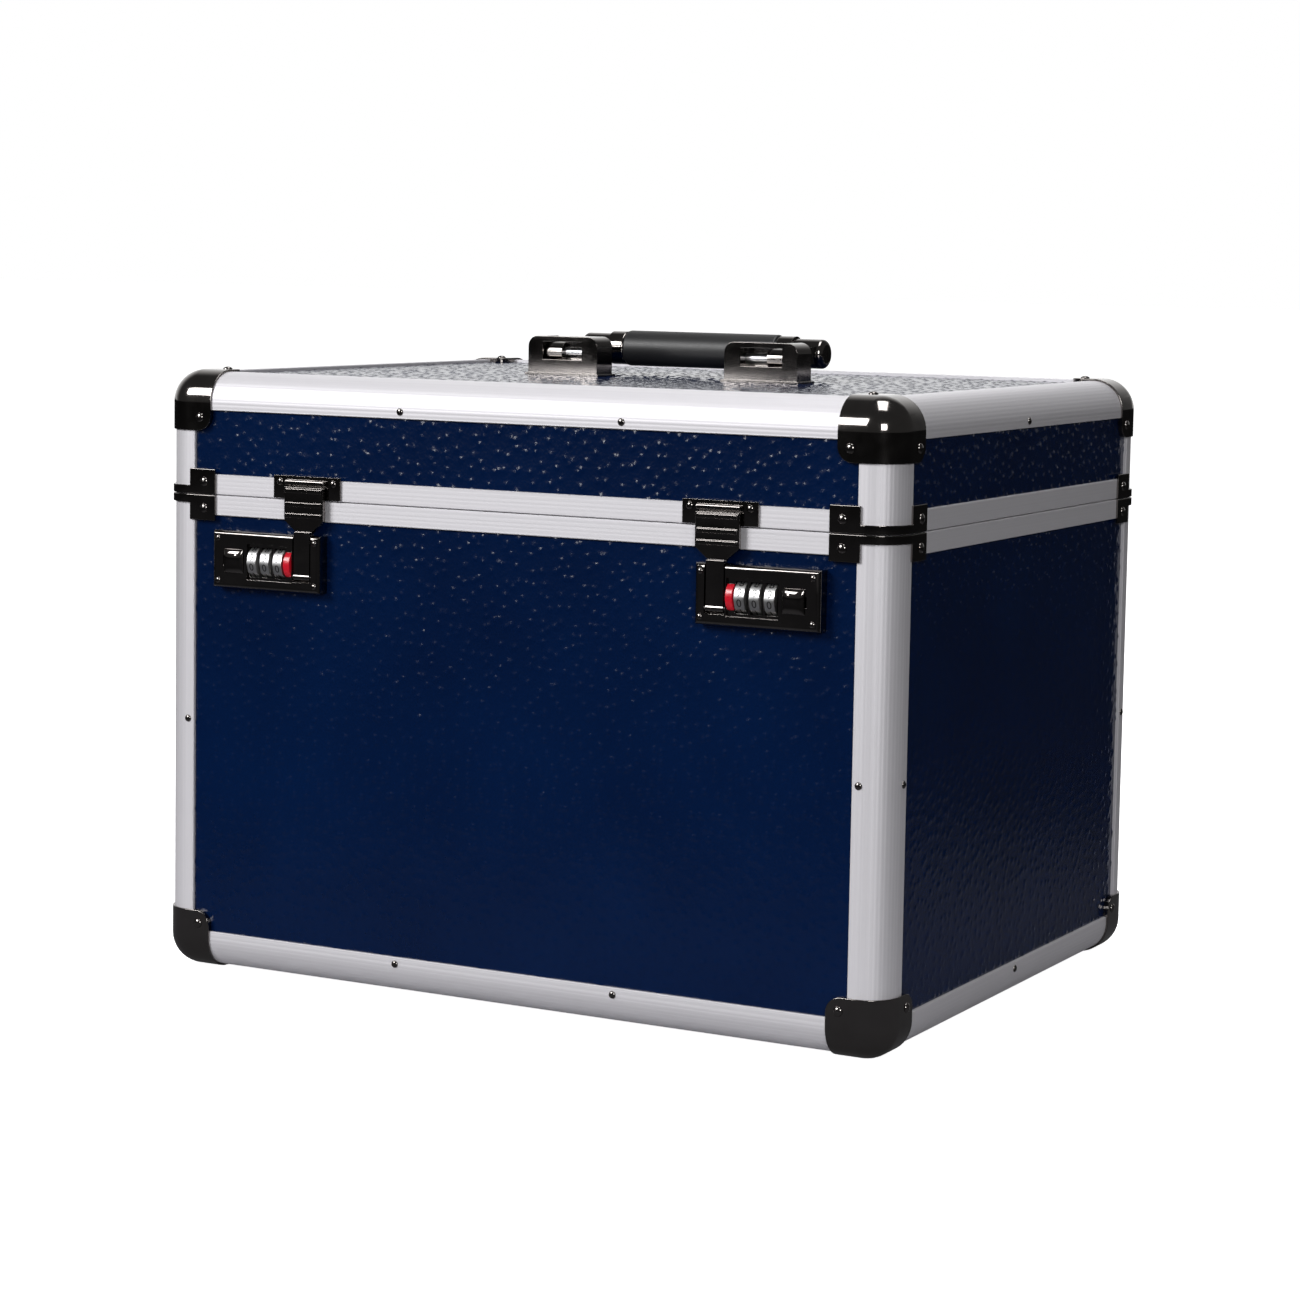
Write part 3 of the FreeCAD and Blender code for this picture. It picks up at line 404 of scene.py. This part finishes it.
def embossedSkin(name, panel, facing):
    # the panel's open area between the profiles
    facing = Vector(facing)
    flange = edgeSizes["flange"] + embossSizes["margin"]
    rim = edgeSizes["rim"] + embossSizes["margin"]
    if bodyOf[panel] == "lid":
        low, high = edgeSizes["lidBottom"] + rim, edgeSizes["top"] - flange
    else:
        low, high = edgeSizes["bottom"] + flange, edgeSizes["bodyTop"] - rim
    boxLow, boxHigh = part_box(panel)
    wide, deep = 2 * (halfWidth - flange), 2 * (halfDepth - flange)
    middle = (low + high) / 2
    if facing.y:
        face = boxLow.y if facing.y < 0 else boxHigh.y
        turn = (math.pi / 2, 0, 0) if facing.y < 0 else (math.pi / 2, 0, math.pi)
        width, height, place = wide, high - low, (0, face, middle)
    elif facing.x:
        face = boxLow.x if facing.x < 0 else boxHigh.x
        turn = (math.pi / 2, 0, math.copysign(math.pi / 2, facing.x))
        width, height, place = deep, high - low, (face, 0, middle)
    else:
        turn, width, height, place = (0, 0, 0), wide, deep, (0, 0, boxHigh.z)
    place = Vector(place) + facing * embossSizes["ground"]
    aside = Vector((0.5, 0.5, 0)) * facing.y    # keeps the front's pattern apart from the rear's
    skin = newObject(name, bpy.data.meshes.new(name))
    modifier = skin.modifiers.new("skin", "NODES")
    modifier.node_group = skinGroup
    for key, value in {"Width": width, "Height": height, "Columns": int(width / embossSizes["grid"]),
                       "Rows": int(height / embossSizes["grid"]), "Place": place, "Turn": turn,
                       "Shift": Vector(place) * embossSizes["patternShift"] + aside,
                       "Scatter": embossSizes["scatter"], "Spacing": embossSizes["spacing"],
                       "Reach": embossSizes["reach"], "Relief": embossSizes["relief"],
                       "Material": finishes["navy_panel"]}.items():
        setInput(modifier, key, value)
    baked(skin, name)
    skirted(skin.data, facing, latchOpenings() if panel == "front_panel" else [])
    shadeSmooth(skin.data, 50)
    placed(skin, bodyOf[panel], "navy_panel")


sideFacings = {"front": (0, -1, 0), "rear": (0, 1, 0), "left": (-1, 0, 0), "right": (1, 0, 0)}
for side, facing in sideFacings.items():
    embossedSkin("embossed_" + side, side + "_panel", facing)
    embossedSkin("embossed_lid_" + side, "lid_" + side + "_panel", facing)
embossedSkin("embossed_lid_top", "lid_top_panel", (0, 0, 1))
print("embossed skins made")


# Aluminium profiles: sections with fine flutes, drawn along the edges
def fluteDepth(distance):
    wave = 0.5 - 0.5 * math.cos(2 * math.pi * distance / edgeSizes["flutePitch"])
    return edgeSizes["fluteDepth"] * wave ** 3


def cornerSection():
    # (a, b) lie inside the two outer faces
    flange, bend, metal, wall = (edgeSizes[key] for key in ("flange", "round", "metal", "wall"))
    chamfer = edgeSizes["chamfer"]
    straight = flange - chamfer - bend
    arc = bend * math.pi / 2
    total = 2 * straight + arc
    count = int(total / edgeSizes["flutePitch"]) * edgeSizes["fluteSteps"]
    points = [(flange, chamfer)]
    for step in range(count + 1):
        distance = total * step / count
        depth = fluteDepth(distance)
        if distance < straight:
            points.append((flange - chamfer - distance, depth))
        elif distance > straight + arc:
            points.append((depth, bend + distance - straight - arc))
        else:
            angle = (distance - straight) / bend
            reach = bend - depth
            points.append((bend - reach * math.sin(angle), bend - reach * math.cos(angle)))
    points.append((chamfer, flange))
    points += [(metal, flange), (metal, bend), (wall, bend), (wall, wall), (bend, wall), (bend, metal),
               (flange, metal)]
    return points


def rimSection(tongue):
    # (a, rise) from the outer face and from the seam; the body's rim also has the inner leg
    metal, wall, rim, lip = (edgeSizes[key] for key in ("metal", "wall", "rim", "lip"))
    chamfer = edgeSizes["chamfer"]
    length = rim - 2 * chamfer
    count = int(length / edgeSizes["flutePitch"]) * edgeSizes["fluteSteps"]
    points = [(chamfer, -rim)]
    for step in range(count + 1):
        distance = length * step / count
        points.append((fluteDepth(distance) * edgeSizes["rimShare"], -rim + chamfer + distance))
    points.append((chamfer, 0))
    if tongue:
        start, leg, tongueTop = wall + edgeSizes["tongueGap"], wall + edgeSizes["leg"], edgeSizes["tongue"]
        points += [(start, 0), (start, tongueTop), (leg, tongueTop), (leg, -rim), (wall, -rim)]
    else:
        points.append((wall, 0))
    points += [(wall, -lip), (metal, -lip), (metal, -rim)]
    return points


def profileBar(shape, layer, section, at, run):
    # one straight length: at(a, b) gives a section point's place, run is the bar's vector
    starts = [shape.verts.new(at(a, b)) for a, b in section]
    ends = [shape.verts.new(at(a, b) + run) for a, b in section]
    across = [0.0]
    for here, there in zip(section, section[1:] + section[:1]):
        across.append(across[-1] + math.dist(here, there))
    count = len(section)
    for i in range(count):
        j = (i + 1) % count
        face = shape.faces.new((starts[i], starts[j], ends[j], ends[i]))
        left, right, length = across[i], across[i + 1], run.length
        for loop, place in zip(face.loops, ((left, 0), (right, 0), (right, length), (left, length))):
            loop[layer].uv = place
    for ring in (starts, ends):
        shape.faces.new(ring)


def profileSet(name, body, stoodFor, bars):
    shape = bmesh.new()
    layer = shape.loops.layers.uv.new("run")
    for section, at, run in bars:
        profileBar(shape, layer, section, at, run)
    bmesh.ops.recalc_face_normals(shape, faces=shape.faces)
    mesh = bpy.data.meshes.new(name)
    shape.to_mesh(mesh)
    shape.free()
    mesh.materials.append(finishes["aluminium"])
    shadeSmooth(mesh, 40)
    placed(newObject(name, mesh), body, "aluminium", *stoodFor)


def posts(low, high):
    def barAt(signX, signY):
        return lambda a, b: Vector((signX * (halfWidth - a), signY * (halfDepth - b), low))
    return [(corner, barAt(x, y), Vector((0, 0, high - low))) for x in (-1, 1) for y in (-1, 1)]


def levelBars(section, level, inward):
    # the four level bars at one height
    endX = halfWidth - edgeSizes["flange"]
    endY = halfDepth - edgeSizes["flange"]

    def frontAt(sign):
        return lambda a, b: Vector((-endX, sign * (halfDepth - a), level + inward * b))

    def sideAt(sign):
        return lambda a, b: Vector((sign * (halfWidth - a), -endY, level + inward * b))
    bars = [(section, frontAt(sign), Vector((2 * endX, 0, 0))) for sign in (-1, 1)]
    return bars + [(section, sideAt(sign), Vector((0, 2 * endY, 0))) for sign in (-1, 1)]


corner = cornerSection()
profileSet("body_posts", "body", ["corner_posts"],
           posts(edgeSizes["bottom"] + edgeSizes["flange"], edgeSizes["bodyTop"]))
profileSet("body_bottom_profiles", "body", ["bottom_rails"], levelBars(corner, edgeSizes["bottom"], 1))
profileSet("body_rim_profiles", "body", ["body_rim_rails"],
           levelBars(rimSection(True), edgeSizes["bodyTop"], 1))
profileSet("lid_corner_posts", "lid", ["lid_posts"],
           posts(edgeSizes["lidBottom"], edgeSizes["top"] - edgeSizes["flange"]))
profileSet("lid_top_profiles", "lid", ["lid_top_rails"], levelBars(corner, edgeSizes["top"], -1))
profileSet("lid_rim_profiles", "lid", ["lid_rim_rails"],
           levelBars(rimSection(False), edgeSizes["lidBottom"], -1))
print("profiles made")


def rivetTree():
    # domed heads, one on each point, turned and sized by the points' attributes
    tree, given = newTree("domed rivets", {"Segments": "NodeSocketInt", "Rings": "NodeSocketInt",
                                           "Material": "NodeSocketMaterial"})
    ball = addNode(tree, "GeometryNodeMeshUVSphere", {}, {
        "Segments": given.outputs["Segments"], "Rings": given.outputs["Rings"], "Radius": 1.0})
    here = addNode(tree, "GeometryNodeInputPosition").outputs[0]
    split = addNode(tree, "ShaderNodeSeparateXYZ", {}, {0: here})
    level = addNode(tree, "ShaderNodeMath", {"operation": "MAXIMUM"}, {0: split.outputs[2], 1: 0.0})
    place = addNode(tree, "ShaderNodeCombineXYZ", {}, {
        0: split.outputs[0], 1: split.outputs[1], 2: level.outputs[0]})
    dome = addNode(tree, "GeometryNodeSetPosition", {}, {
        "Geometry": ball.outputs[0], "Position": place.outputs[0]})
    read = {}
    for name in ("facing", "size"):
        read[name] = addNode(tree, "GeometryNodeInputNamedAttribute", {"data_type": "FLOAT_VECTOR"},
                             {"Name": name}).outputs[0]
    turn = addNode(tree, "FunctionNodeAlignRotationToVector", {"axis": "Z"},
                   {"Vector": read["facing"]})
    heads = addNode(tree, "GeometryNodeInstanceOnPoints", {}, {
        "Points": given.outputs["Geometry"], "Instance": dome.outputs[0], "Rotation": turn.outputs[0],
        "Scale": read["size"]})
    finishTree(tree, heads.outputs[0], given)
    return tree


def islands(node):
    # the corners of each of a node's separate solids
    shape = bmesh.new()
    shape.from_mesh(nodes[node].data)
    bmesh.ops.remove_doubles(shape, verts=shape.verts, dist=mergeDistance)
    left = set(shape.verts)
    found = []
    for first in shape.verts:    # in the mesh's own order, so that each run gives the same list
        if first not in left:
            continue
        left.discard(first)
        reached, waiting = [first], [first]
        while waiting:
            vert = waiting.pop()
            for link in vert.link_edges:
                other = link.other_vert(vert)
                if other in left:
                    left.discard(other)
                    reached.append(other)
                    waiting.append(other)
        found.append([vert.co.copy() for vert in reached])
    shape.free()
    return found


rivetLook = {"segments": 20, "rings": 12, "slot": "chrome"}
rivetGroup = rivetTree()


def rivetSet(name, node):
    # a dome over each of the node's plain rivets, its flat side on the plate
    seats, ways, sizes = [], [], []
    for island in islands(node):
        low = Vector(min(co[i] for co in island) for i in range(3))
        high = Vector(max(co[i] for co in island) for i in range(3))
        extent = high - low
        axis = min(range(3), key=lambda i: extent[i])
        seat = (low + high) / 2
        sign = 1 if axis == 2 else math.copysign(1, seat[axis])
        way = Vector((0, 0, 0))
        way[axis] = sign
        seat[axis] = low[axis] if sign > 0 else high[axis]
        radius = max(extent) / 2
        seats.append(seat)
        ways.append(way)
        sizes.append((radius, radius, extent[axis]))
    mesh = bpy.data.meshes.new(name)
    mesh.from_pydata(seats, [], [])
    for key, values in (("facing", ways), ("size", sizes)):
        attribute = mesh.attributes.new(key, "FLOAT_VECTOR", "POINT")
        attribute.data.foreach_set("vector", [x for value in values for x in value])
    thing = newObject(name, mesh)
    modifier = thing.modifiers.new("rivets", "NODES")
    modifier.node_group = rivetGroup
    setInput(modifier, "Segments", rivetLook["segments"])
    setInput(modifier, "Rings", rivetLook["rings"])
    setInput(modifier, "Material", finishes[rivetLook["slot"]])
    baked(thing, name)
    shadeSmooth(thing.data, 50)
    placed(thing, bodyOf[node], rivetLook["slot"], node)


rivetSet("body_rivet_heads", "body_rivets")
rivetSet("lid_rivet_heads", "lid_rivets")
print("rivets made")


edgeBreak = {
    "segments": 2, "angle": 40,    # only edges that turn by more than the angle are broken
    "flatAngle": 0.8,              # triangles that meet flatter than this are one face
    "faceWeight": 80,              # how strongly large faces keep their shading level
}


def cleaned(node, name):
    # the node's mesh with its triangles joined into whole faces
    shape = bmesh.new()
    shape.from_mesh(nodes[node].data)
    bmesh.ops.remove_doubles(shape, verts=shape.verts, dist=mergeDistance)
    bmesh.ops.dissolve_limit(shape, angle_limit=math.radians(edgeBreak["flatAngle"]),
                             verts=shape.verts, edges=shape.edges)
    mesh = bpy.data.meshes.new(name)
    shape.verts.index_update()
    corners = [v.co.copy() for v in shape.verts]
    mesh.from_pydata(corners, [], [[v.index for v in face.verts] for face in shape.faces])
    shape.free()
    mesh.materials.append(finishes[slotOf[node]])
    return mesh


def brokenEdges(node, width):
    name = node + "_finished"
    thing = newObject(name, cleaned(node, name))
    bevel = thing.modifiers.new("edges", "BEVEL")
    bevel.width = width
    bevel.segments = edgeBreak["segments"]
    bevel.limit_method = "ANGLE"
    bevel.angle_limit = math.radians(edgeBreak["angle"])
    bevel.use_clamp_overlap = True
    thing.data.shade_smooth()
    level = thing.modifiers.new("level faces", "WEIGHTED_NORMAL")
    level.keep_sharp = True
    level.weight = edgeBreak["faceWeight"]
    baked(thing, name)
    placed(thing, bodyOf[node], slotOf[node], node)


fittingEdges = {
    # how wide each fitting's edges are broken, in millimetres
    "top_corner_caps": 0.3, "bottom_corner_caps": 0.3,
    "body_parting_brackets": 0.3, "lid_parting_brackets": 0.3,
    "lock_plate_left": 0.25, "lock_plate_right": 0.25, "keeper_left": 0.3, "keeper_right": 0.3,
    "hasp_left": 0.3, "hasp_right": 0.3,
    "handle_mounts": 0.5, "handle_arms": 0.6, "handle_grip": 0.4,
    "dial_left_1": 0.2, "dial_left_2": 0.2, "dial_left_3": 0.2,
    "dial_right_1": 0.2, "dial_right_2": 0.2, "dial_right_3": 0.2,
    "body_hinge_leaves": 0.25, "lid_hinge_leaves": 0.25, "link_plates": 0.3, "lid_arms": 0.3,
    "front_links": 0.3, "rear_links": 0.3, "upper_tray": 0.5, "lower_tray": 0.5,
    "upper_tray_dividers": 0.35, "lower_tray_dividers": 0.35, "lid_lining": 0.6,
    "lock_markers": 0.3,
}
buttonSizes = {
    "steps": 18,
    "power": 3.2,         # how square the pillow's sides are
    "proud": 0.1 * mm,    # of the cap's rim over the plate
}


def crownedButton(node):
    # a pillow-shaped cap over the plate, in place of the plain block and its hidden stem
    low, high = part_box(node)
    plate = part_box(node.replace("button", "lock_plate"))[0].y
    middle = (low + high) / 2
    half = (high - low) / 2
    steps = buttonSizes["steps"]
    base = plate - buttonSizes["proud"]
    shape = bmesh.new()
    rows = []
    for i in range(steps + 1):
        u = math.sin(math.pi * (i / steps - 0.5))
        row = []
        for j in range(steps + 1):
            v = math.sin(math.pi * (j / steps - 0.5))
            fall = (1 - abs(u) ** buttonSizes["power"]) * (1 - abs(v) ** buttonSizes["power"])
            y = base + (low.y - base) * max(fall, 0) ** 0.5
            row.append(shape.verts.new((middle.x + u * half.x, y, middle.z + v * half.z)))
        rows.append(row)
    for i in range(steps):
        for j in range(steps):
            shape.faces.new((rows[i][j], rows[i][j + 1], rows[i + 1][j + 1], rows[i + 1][j]))
    rim = rows[0] + [row[-1] for row in rows[1:]] + rows[-1][-2::-1] + [row[0] for row in rows[-2:0:-1]]
    shape.faces.new(rim)
    bmesh.ops.recalc_face_normals(shape, faces=shape.faces)
    name = node + "_crowned"
    mesh = bpy.data.meshes.new(name)
    shape.to_mesh(mesh)
    shape.free()
    mesh.materials.append(finishes[slotOf[node]])
    shadeSmooth(mesh, 60)
    placed(newObject(name, mesh), bodyOf[node], slotOf[node], node)


for node in ("button_left", "button_right"):
    crownedButton(node)
for node, width in fittingEdges.items():
    brokenEdges(node, width * mm)
print("fittings finished")


figureSizes = {
    "height": 3.5 * mm, "capShare": 0.7,    # a figure's height as a share of the type's size
    "proud": 0.06 * mm, "sink": 0.03 * mm, "faces": 10, "steps": 3,
}


def figureMesh(digit):
    # one digit as a thin solid, centred and lying flat
    curve = bpy.data.curves.new("figure", "FONT")
    curve.body = digit
    curve.size = figureSizes["height"] / figureSizes["capShare"]
    curve.align_x = "CENTER"
    curve.align_y = "CENTER"
    curve.extrude = figureSizes["proud"] / 2
    curve.resolution_u = figureSizes["steps"]
    thing = newObject("figure", curve)
    graph = bpy.context.evaluated_depsgraph_get()
    mesh = bpy.data.meshes.new_from_object(thing.evaluated_get(graph))
    bpy.data.objects.remove(thing)
    return mesh


figureMeshes = [figureMesh(str(digit)) for digit in range(figureSizes["faces"])]


def dialFigures(node):
    # the ten digits round a dial, one on each of its faces
    low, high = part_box(node)
    centre = (low + high) / 2
    radius = max(high.z - low.z, high.y - low.y) / 2
    turn = 2 * math.pi / figureSizes["faces"]
    reach = radius * math.cos(turn / 2) - figureSizes["sink"] + figureSizes["proud"] / 2
    shape = bmesh.new()
    for digit, source in enumerate(figureMeshes):
        angle = math.pi + (digit + 0.5) * turn
        out = Vector((0, math.cos(angle), math.sin(angle)))
        side = Vector((1, 0, 0))
        up = out.cross(side)
        turned = Matrix((side, up, out)).transposed().to_4x4()
        mesh = source.copy()
        mesh.transform(Matrix.Translation(centre + out * reach) @ turned)
        shape.from_mesh(mesh)
        bpy.data.meshes.remove(mesh)
    mesh = bpy.data.meshes.new(node + "_figures")
    shape.to_mesh(mesh)
    shape.free()
    mesh.materials.clear()
    mesh.materials.append(figureEnamel)
    placed(newObject(node + "_figures", mesh), bodyOf[node], "lock_plastic")


for side in ("left", "right"):
    for number in (1, 2, 3):
        dialFigures("dial_%s_%d" % (side, number))
for mesh in figureMeshes:
    bpy.data.meshes.remove(mesh)
print("figures set")

studio = {
    "floorSize": 40.0,
    "paperLow": "#f2f2f2", "paperHigh": "#f7f7f7", "fibreScale": 300.0,
    "floorFar": "#1c1c1e", "floorNear": "#c4c4c8",    # what the floor gives back to soft light
    "floorMirrored": "#3c3c40",                       # and what a glossy face sees of it
    "litNear": 0.28, "litFar": 0.7,                   # the bright patch round the case, in metres
    "farGlow": 0.01, "nearGlow": 0.05, "floorGlow": 0.93,
    "backdrop": 1.0, "room": 0.08, "rear": 1.1,       # the world, as the camera and the case see it
    "rearWay": (-0.6, 0.8, 0.0), "rearFrom": 0.5, "rearFull": 0.95,
}
# each lamp's place, what it points at, its width and height, and its power
lamps = {
    "key_light": ((-1.5, -2.3, 1.7), (0, 0, 0.15), (1.4, 1.0), 80.0),
    "sparkle_light": ((-1.1, -2.0, 0.62), (0, -0.14, 0.15), (0.26, 0.26), 3.0),
    "top_light": ((0.2, 0.1, 2.4), (0, 0, 0.2), (1.6, 0.8), 31.0),
    "fill_light": ((1.6, -2.2, 1.0), (0, 0, 0.15), (0.8, 0.8), 33.0),
}
viewpoint = {
    "place": (0.7226, -1.3542, 0.3370), "heading": 28.30, "tilt": -5.215, "roll": -0.948,
    "sensor": 36.0, "lens": 89.72, "shift": -0.08,
}


def studioPaper():
    # Seamless white paper: matt, with a faint fibre.
    material, tree = startMaterial("matt studio paper")
    place = addNode(tree, "ShaderNodeTexCoord").outputs["Object"]
    fibre = addNode(tree, "ShaderNodeTexNoise", {}, {"Vector": place, "Scale": studio["fibreScale"]})
    away = addNode(tree, "ShaderNodeVectorMath", {"operation": "LENGTH"}, {0: place})
    near = addNode(tree, "ShaderNodeMapRange", {"interpolation_type": "SMOOTHSTEP"}, {
        rangeIn: away.outputs["Value"], fromLow: studio["litNear"], fromHigh: studio["litFar"],
        toLow: 1.0, toHigh: 0.0}).outputs[0]
    rays = addNode(tree, "ShaderNodeLightPath").outputs
    pale = addNode(tree, "ShaderNodeMix", {"data_type": "RGBA"}, {
        mixFactor: fibre.outputs["Fac"], mixFirst: linear(studio["paperLow"]),
        mixSecond: linear(studio["paperHigh"])})
    tone = addNode(tree, "ShaderNodeMix", {"data_type": "RGBA"}, {
        mixFactor: rays["Is Glossy Ray"], mixFirst: linear(studio["floorNear"]),
        mixSecond: linear(studio["floorMirrored"])})
    bounce = addNode(tree, "ShaderNodeMix", {"data_type": "RGBA"}, {
        mixFactor: near, mixFirst: linear(studio["floorFar"]), mixSecond: tone.outputs[mixColour]})
    colour = addNode(tree, "ShaderNodeMix", {"data_type": "RGBA"}, {
        mixFactor: rays["Is Camera Ray"], mixFirst: bounce.outputs[mixColour],
        mixSecond: pale.outputs[mixColour]})
    lit = addNode(tree, "ShaderNodeMapRange", {}, {
        rangeIn: near, toLow: studio["farGlow"], toHigh: studio["nearGlow"]})
    seen = addNode(tree, "ShaderNodeMapRange", {}, {
        rangeIn: rays["Is Camera Ray"], toLow: 0.0, toHigh: studio["floorGlow"]})
    glow = addNode(tree, "ShaderNodeMath", {"operation": "MAXIMUM"}, {
        0: lit.outputs[0], 1: seen.outputs[0]})
    finishMaterial(tree, addNode(tree, "ShaderNodeBsdfPrincipled", {}, {
        "Base Color": colour.outputs[mixColour], "Roughness": 0.9, "Specular IOR Level": 0.0,
        "Emission Color": linear("#ffffff"), "Emission Strength": glow.outputs[0]}))
    return material


def studioWorld():
    # a bright backdrop behind the case and a dark room before it
    world = bpy.data.worlds.new("studio")
    world.use_nodes = True
    tree = world.node_tree
    tree.nodes.clear()
    way = addNode(tree, "ShaderNodeTexCoord").outputs["Generated"]
    rearward = addNode(tree, "ShaderNodeVectorMath", {"operation": "DOT_PRODUCT"}, {
        0: way, 1: studio["rearWay"]})
    backdrop = addNode(tree, "ShaderNodeMapRange", {"interpolation_type": "SMOOTHSTEP"}, {
        rangeIn: rearward.outputs["Value"], fromLow: studio["rearFrom"], fromHigh: studio["rearFull"],
        toLow: studio["room"], toHigh: studio["rear"]})
    seen = addNode(tree, "ShaderNodeLightPath").outputs["Is Camera Ray"]
    strength = addNode(tree, "ShaderNodeMix", {}, {
        0: seen, 2: backdrop.outputs[0], 3: studio["backdrop"]})
    light = addNode(tree, "ShaderNodeBackground", {}, {
        "Color": linear("#ffffff"), "Strength": strength.outputs[0]})
    addNode(tree, "ShaderNodeOutputWorld", {}, {"Surface": light.outputs[0]})
    return world


def areaLight(name, place, target, size, power):
    lamp = bpy.data.lights.new(name, "AREA")
    lamp.shape = "RECTANGLE"
    lamp.size, lamp.size_y = size
    lamp.energy = power
    thing = newObject(name, lamp)
    thing.location = place
    thing.rotation_euler = (Vector(target) - Vector(place)).to_track_quat("-Z", "Y").to_euler()


def viewCamera():
    lens = bpy.data.cameras.new("camera")
    lens.sensor_width = viewpoint["sensor"]
    lens.lens = viewpoint["lens"]
    lens.shift_y = viewpoint["shift"]
    camera = newObject("camera", lens)
    turned = Matrix.Identity(4)
    for key, axis in (("heading", "Z"), ("tilt", "X"), ("roll", "Y")):
        turned = turned @ Matrix.Rotation(math.radians(viewpoint[key]), 4, axis)
    level = Matrix.Rotation(math.radians(90), 4, "X")    # from looking down to looking level
    camera.matrix_world = Matrix.Translation(viewpoint["place"]) @ turned @ level
    return camera


bpy.ops.mesh.primitive_plane_add(size=studio["floorSize"])
floor = bpy.context.object
floor.name = "studio_floor"
floor.data.materials.append(studioPaper())
scene.world = studioWorld()
for name, (place, target, size, power) in lamps.items():
    areaLight(name, place, target, size, power)
scene.camera = viewCamera()
bpy.context.view_layer.update()
print("studio set")
